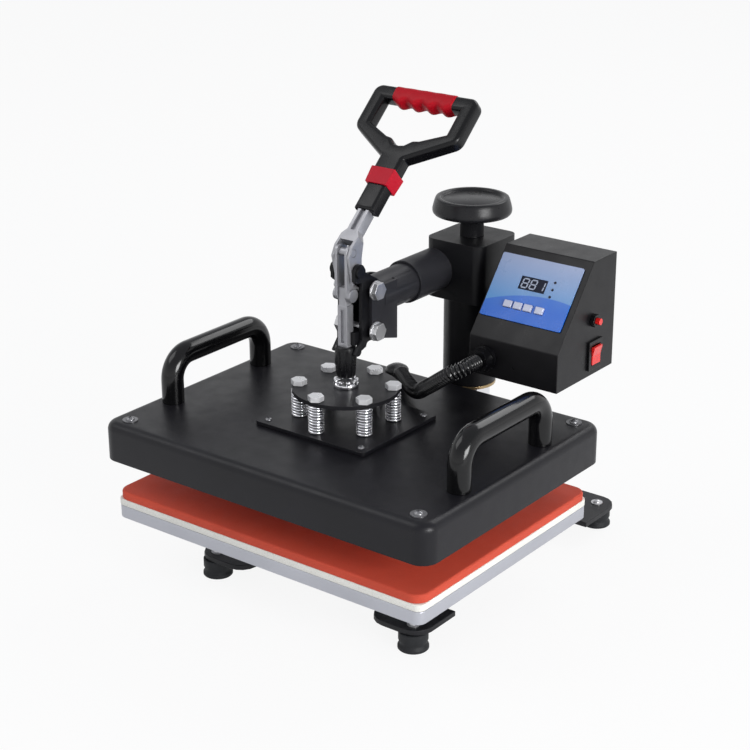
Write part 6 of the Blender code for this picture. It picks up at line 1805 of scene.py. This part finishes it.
@dataclass
class ControlBox:
    """The control box with its panel, display, keys, switches and sockets.

    Attributes:
        slope_top: The top edge of the sloping front, from front to back and in height.
        slope: The tilt of the front.
        surface: The height of the film above the front.
        recess: How deep the display lies under the film.
        window_x: The display window's sides across the panel.
        window_s: Its upper and lower edge down the slope.
        window_height: The height of its face above the recess.
        digits: What the display shows.
        digit_size: The width and the height of a digit.
        digit_pitch: The distance from digit to digit.
        digit_start: The place of the first digit's left side.
        digit_slant: How far a digit leans, as a share of its height.
        digit_bar: The width of a lit bar.
        bar_gap: The gap at a bar's end, as a share of half its width.
        bar_depth: The thickness of a bar.
        bar_lift: The height of its middle above the recess.
        lamp_x: The lamps' place across the panel.
        lamp_rows: Their distances down the slope.
        lamp_radius: The radius of a lamp.
        screw_inset: The rear cover screws' distance from its sides.
        screw_head: The radius of their heads.
        softened: The nodes that show with rounded edges, as the dresser takes them.
    """

    slope_top: tuple[float, float] = SLOPE_TOP
    slope: float = SLOPE
    surface: float = 0.0015
    recess: float = 0.0007
    window_x: tuple[float, float] = (0.1113, 0.1417)
    window_s: tuple[float, float] = (0.0295, 0.0435)
    window_height: float = 0.0003
    digits: str = "881"
    digit_size: tuple[float, float] = (0.0062, 0.0094)
    digit_pitch: float = 0.0092
    digit_start: float = 0.1146
    digit_slant: float = 0.10
    digit_bar: float = 0.0013
    bar_gap: float = 1.3
    bar_depth: float = 0.00018
    bar_lift: float = 0.00042
    lamp_x: float = 0.1496
    lamp_rows: tuple[float, ...] = (0.0298, 0.0376, 0.0452)
    lamp_radius: float = 0.0014
    screw_inset: float = 0.007
    screw_head: float = 0.0028
    softened: tuple[Softened, ...] = (
        ("box_shell", Palette.BOX_COAT, 0.0011, 3), ("box_back", Palette.BOX_COAT, 0.0005, 2),
        ("box_bracket", Palette.BOX_COAT, 0.0005, 2),
        ("rocker_bezel", Palette.MOULDED, 0.0004, 2),
        ("mains_inlet", Palette.MOULDED, 0.0004, 2),
        ("box_connector", Palette.MOULDED, 0.0004, 2),
        ("reset_housing", Palette.MOULDED, 0.0004, 2),
        ("display_panel", Palette.FILM, 0.0002, 2),
        ("panel_key_1", Palette.KEY, 0.0007, 3), ("panel_key_2", Palette.KEY, 0.0007, 3),
        ("panel_key_3", Palette.KEY, 0.0007, 3), ("panel_key_4", Palette.KEY, 0.0007, 3),
        ("rocker", Palette.RED_LENS, 0.0006, 3), ("reset_button", Palette.RED_LENS, 0.0005, 3),
    )

    def seat(self) -> Matrix:
        """Return the matrix from the slope's frame to the model's."""
        return panel_seat(self.slope_top, self.slope)

    def dress(self, dresser: Dresser) -> None:
        """Finish the control box's pieces."""
        dresser.soften_all(self.softened)
        dresser.paint("controller_board", Palette.CIRCUIT)
        self.display(dresser)
        self.lamps(dresser)
        self.side_screws(dresser)

    def display(self, dresser: Dresser) -> None:
        """Make the display's window and its digits."""
        seat = self.seat()
        floor = self.surface - self.recess
        low = (self.window_x[0] + LEEWAY, -self.window_s[1] + LEEWAY, floor + 0.00002)
        high = (self.window_x[1] - LEEWAY, -self.window_s[0] - LEEWAY,
                floor + self.window_height)
        window = slab("display_window", low, high, 0.0003, steps=2)
        window.data.transform(seat)
        dresser.put(window, Body.HEAD, Palette.WINDOW)
        bars = []
        for index, digit in enumerate(self.digits):
            bars += self.digit(digit, self.digit_start + index * self.digit_pitch)
        middle = -(self.window_s[0] + self.window_s[1]) / 2
        depth = Matrix.Translation((0.0, middle, floor + self.bar_lift))
        pieces = [plate(f"bar_{index}", outline, self.bar_depth, seat @ depth)
                  for index, outline in enumerate(bars)]
        dresser.put(merged("display_digits", pieces), Body.HEAD, Palette.DIGIT)

    def digit(self, digit: str, x: float) -> list[list[Vector]]:
        """Return the outlines of one digit's lit bars.

        Args:
            digit: The digit.
            x: The place of its left side across the panel.

        Returns:
            One outline for each lit bar.
        """
        lit = {"0": "abcdef", "1": "bc", "2": "abged", "3": "abgcd", "4": "fgbc",
               "5": "afgcd", "6": "afgedc", "7": "abc", "8": "abcdefg", "9": "abcdfg"}
        wide, tall = self.digit_size
        half = self.digit_bar / 2
        spots = {
            "a": ((0.0, tall / 2), (wide, tall / 2)), "g": ((0.0, 0.0), (wide, 0.0)),
            "d": ((0.0, -tall / 2), (wide, -tall / 2)),
            "f": ((0.0, 0.0), (0.0, tall / 2)), "b": ((wide, 0.0), (wide, tall / 2)),
            "e": ((0.0, -tall / 2), (0.0, 0.0)), "c": ((wide, -tall / 2), (wide, 0.0)),
        }
        outlines = []
        for bar in lit[digit]:
            first, last = (Vector(point) for point in spots[bar])
            ahead = (last - first).normalized()
            across = Vector((-ahead.y, ahead.x)) * half
            gap = ahead * half * self.bar_gap
            first, last = first + gap, last - gap
            points = [first - ahead * half, first + across, last + across,
                      last + ahead * half, last - across, first - across]
            outlines.append([Vector((x + point.x + point.y * self.digit_slant, point.y))
                             for point in points])
        return outlines

    def lamps(self, dresser: Dresser) -> None:
        """Make the three small lamps beside the display."""
        pieces = []
        for index, distance in enumerate(self.lamp_rows):
            profile = ((0.0, 0.0), (self.lamp_radius, 0.0), (self.lamp_radius, 0.0002),
                       (self.lamp_radius * 0.7, 0.0006), (0.0, 0.0008))
            lamp = turned(f"lamp_{index}", profile, (0.0, 0.0, 0.0), sides=24)
            lamp.data.transform(self.seat() @ Matrix.Translation(
                (self.lamp_x, -distance, self.surface)))
            pieces.append(lamp)
        dresser.put(merged("panel_lamps", pieces), Body.HEAD, Palette.LED)

    def side_screws(self, dresser: Dresser) -> None:
        """Set the screws of the box's rear cover."""
        low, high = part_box("box_back")
        inset = self.screw_inset
        places = [(x, high.y, z) for x in (low.x + inset, high.x - inset)
                  for z in (low.z + inset, high.z - inset)]
        screws = ScrewSet("rear_cover_screws", places, Run.BACK, head=self.screw_head,
                          washer=0.0, washer_height=0.0)
        dresser.put(screws.build(dresser.palette), Body.HEAD, None)


@dataclass
class HeaterHose:
    """The ribbed hose from the control box to the platen's gland.

    Attributes:
        start: Where it leaves the box's connector.
        route: The points that it passes, in order.
        gland: The gland's middle.
        nozzle_reach: How far the gland's nozzle stands out.
        nozzle_height: The height at which the hose meets it.
        run_out: How far the hose runs straight at either end.
        rib: The radius over the ribs.
        valley: The radius between them.
        pitch: The distance from rib to rib.
        steps: The number of points from knot to knot.
    """

    start: Place = (0.098, 0.01815, 0.229)
    route: tuple[Place, ...] = (
        (0.0955, -0.00425, 0.2270), (0.0870, -0.00975, 0.2225), (0.0730, -0.00725, 0.2125),
        (0.0600, -0.00275, 0.2030), (0.0470, 0.00175, 0.1940), (0.0330, 0.01025, 0.1845),
        (0.0170, 0.02175, 0.1800),
    )
    gland: tuple[float, float] = (-0.033, 0.06275)
    nozzle_reach: float = 0.0173
    nozzle_height: float = 0.1788
    run_out: float = 0.0148
    rib: float = 0.0080
    valley: float = 0.0064
    pitch: float = 0.0036
    steps: int = 16

    def line(self) -> list[Vector]:
        """Return the hose's centre line through its route."""
        last = Vector((self.route[-1][0] - self.gland[0], self.route[-1][1] - self.gland[1],
                       0.0)).normalized()
        mouth = Vector((*self.gland, self.nozzle_height)) + last * self.nozzle_reach
        start = Vector(self.start)
        knots = [start, start - Vector((0.0, self.run_out, 0.0)),
                 *[Vector(place) for place in self.route],
                 mouth + last * self.run_out, mouth]
        fine = [start]
        for index in range(1, len(knots) - 2):
            before, here, there, after = knots[index - 1:index + 3]
            for step in range(self.steps):
                fine.append(self.between(before, here, there, after, step / self.steps))
        return [*fine, knots[-2], mouth]

    def between(self, before: Vector, here: Vector, there: Vector, after: Vector,
                share: float) -> Vector:
        """Return a point of the smooth curve between two knots."""
        square = share * share
        cube = square * share
        return (2 * here + (there - before) * share
                + (2 * before - 5 * here + 4 * there - after) * square
                + (3 * here - before - 3 * there + after) * cube) / 2

    def dress(self, dresser: Dresser) -> None:
        """Make the hose along its route."""
        line = self.line()
        hose = RibbedHose("heater_hose_ribbed", line, self.rib, self.valley,
                          self.pitch).build(dresser.palette)
        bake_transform(hose)
        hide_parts("heater_hose")
        LOG.info("%s bends from the head to the rod", hose.name)


def corners(box: object) -> list[list[float]]:
    """Return a box as plain lists of numbers."""
    return [[float(value) for value in corner] for corner in box]


def main() -> None:
    """Build the scene."""
    logging.basicConfig(level=logging.INFO, format="%(name)s: %(message)s")
    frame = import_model()
    Studio().build()
    dresser = Dresser(frame)
    builders: tuple[Callable[[Dresser], None], ...] = (
        Base().dress, Column().dress, Toggle().dress, Lever().dress, SpringUnit().dress,
        HeatPlaten().dress, ControlBox().dress, HeaterHose().dress,
    )
    for build in builders:
        build(dresser)
    bpy.context.view_layer.update()


if __name__ == "__main__":
    main()
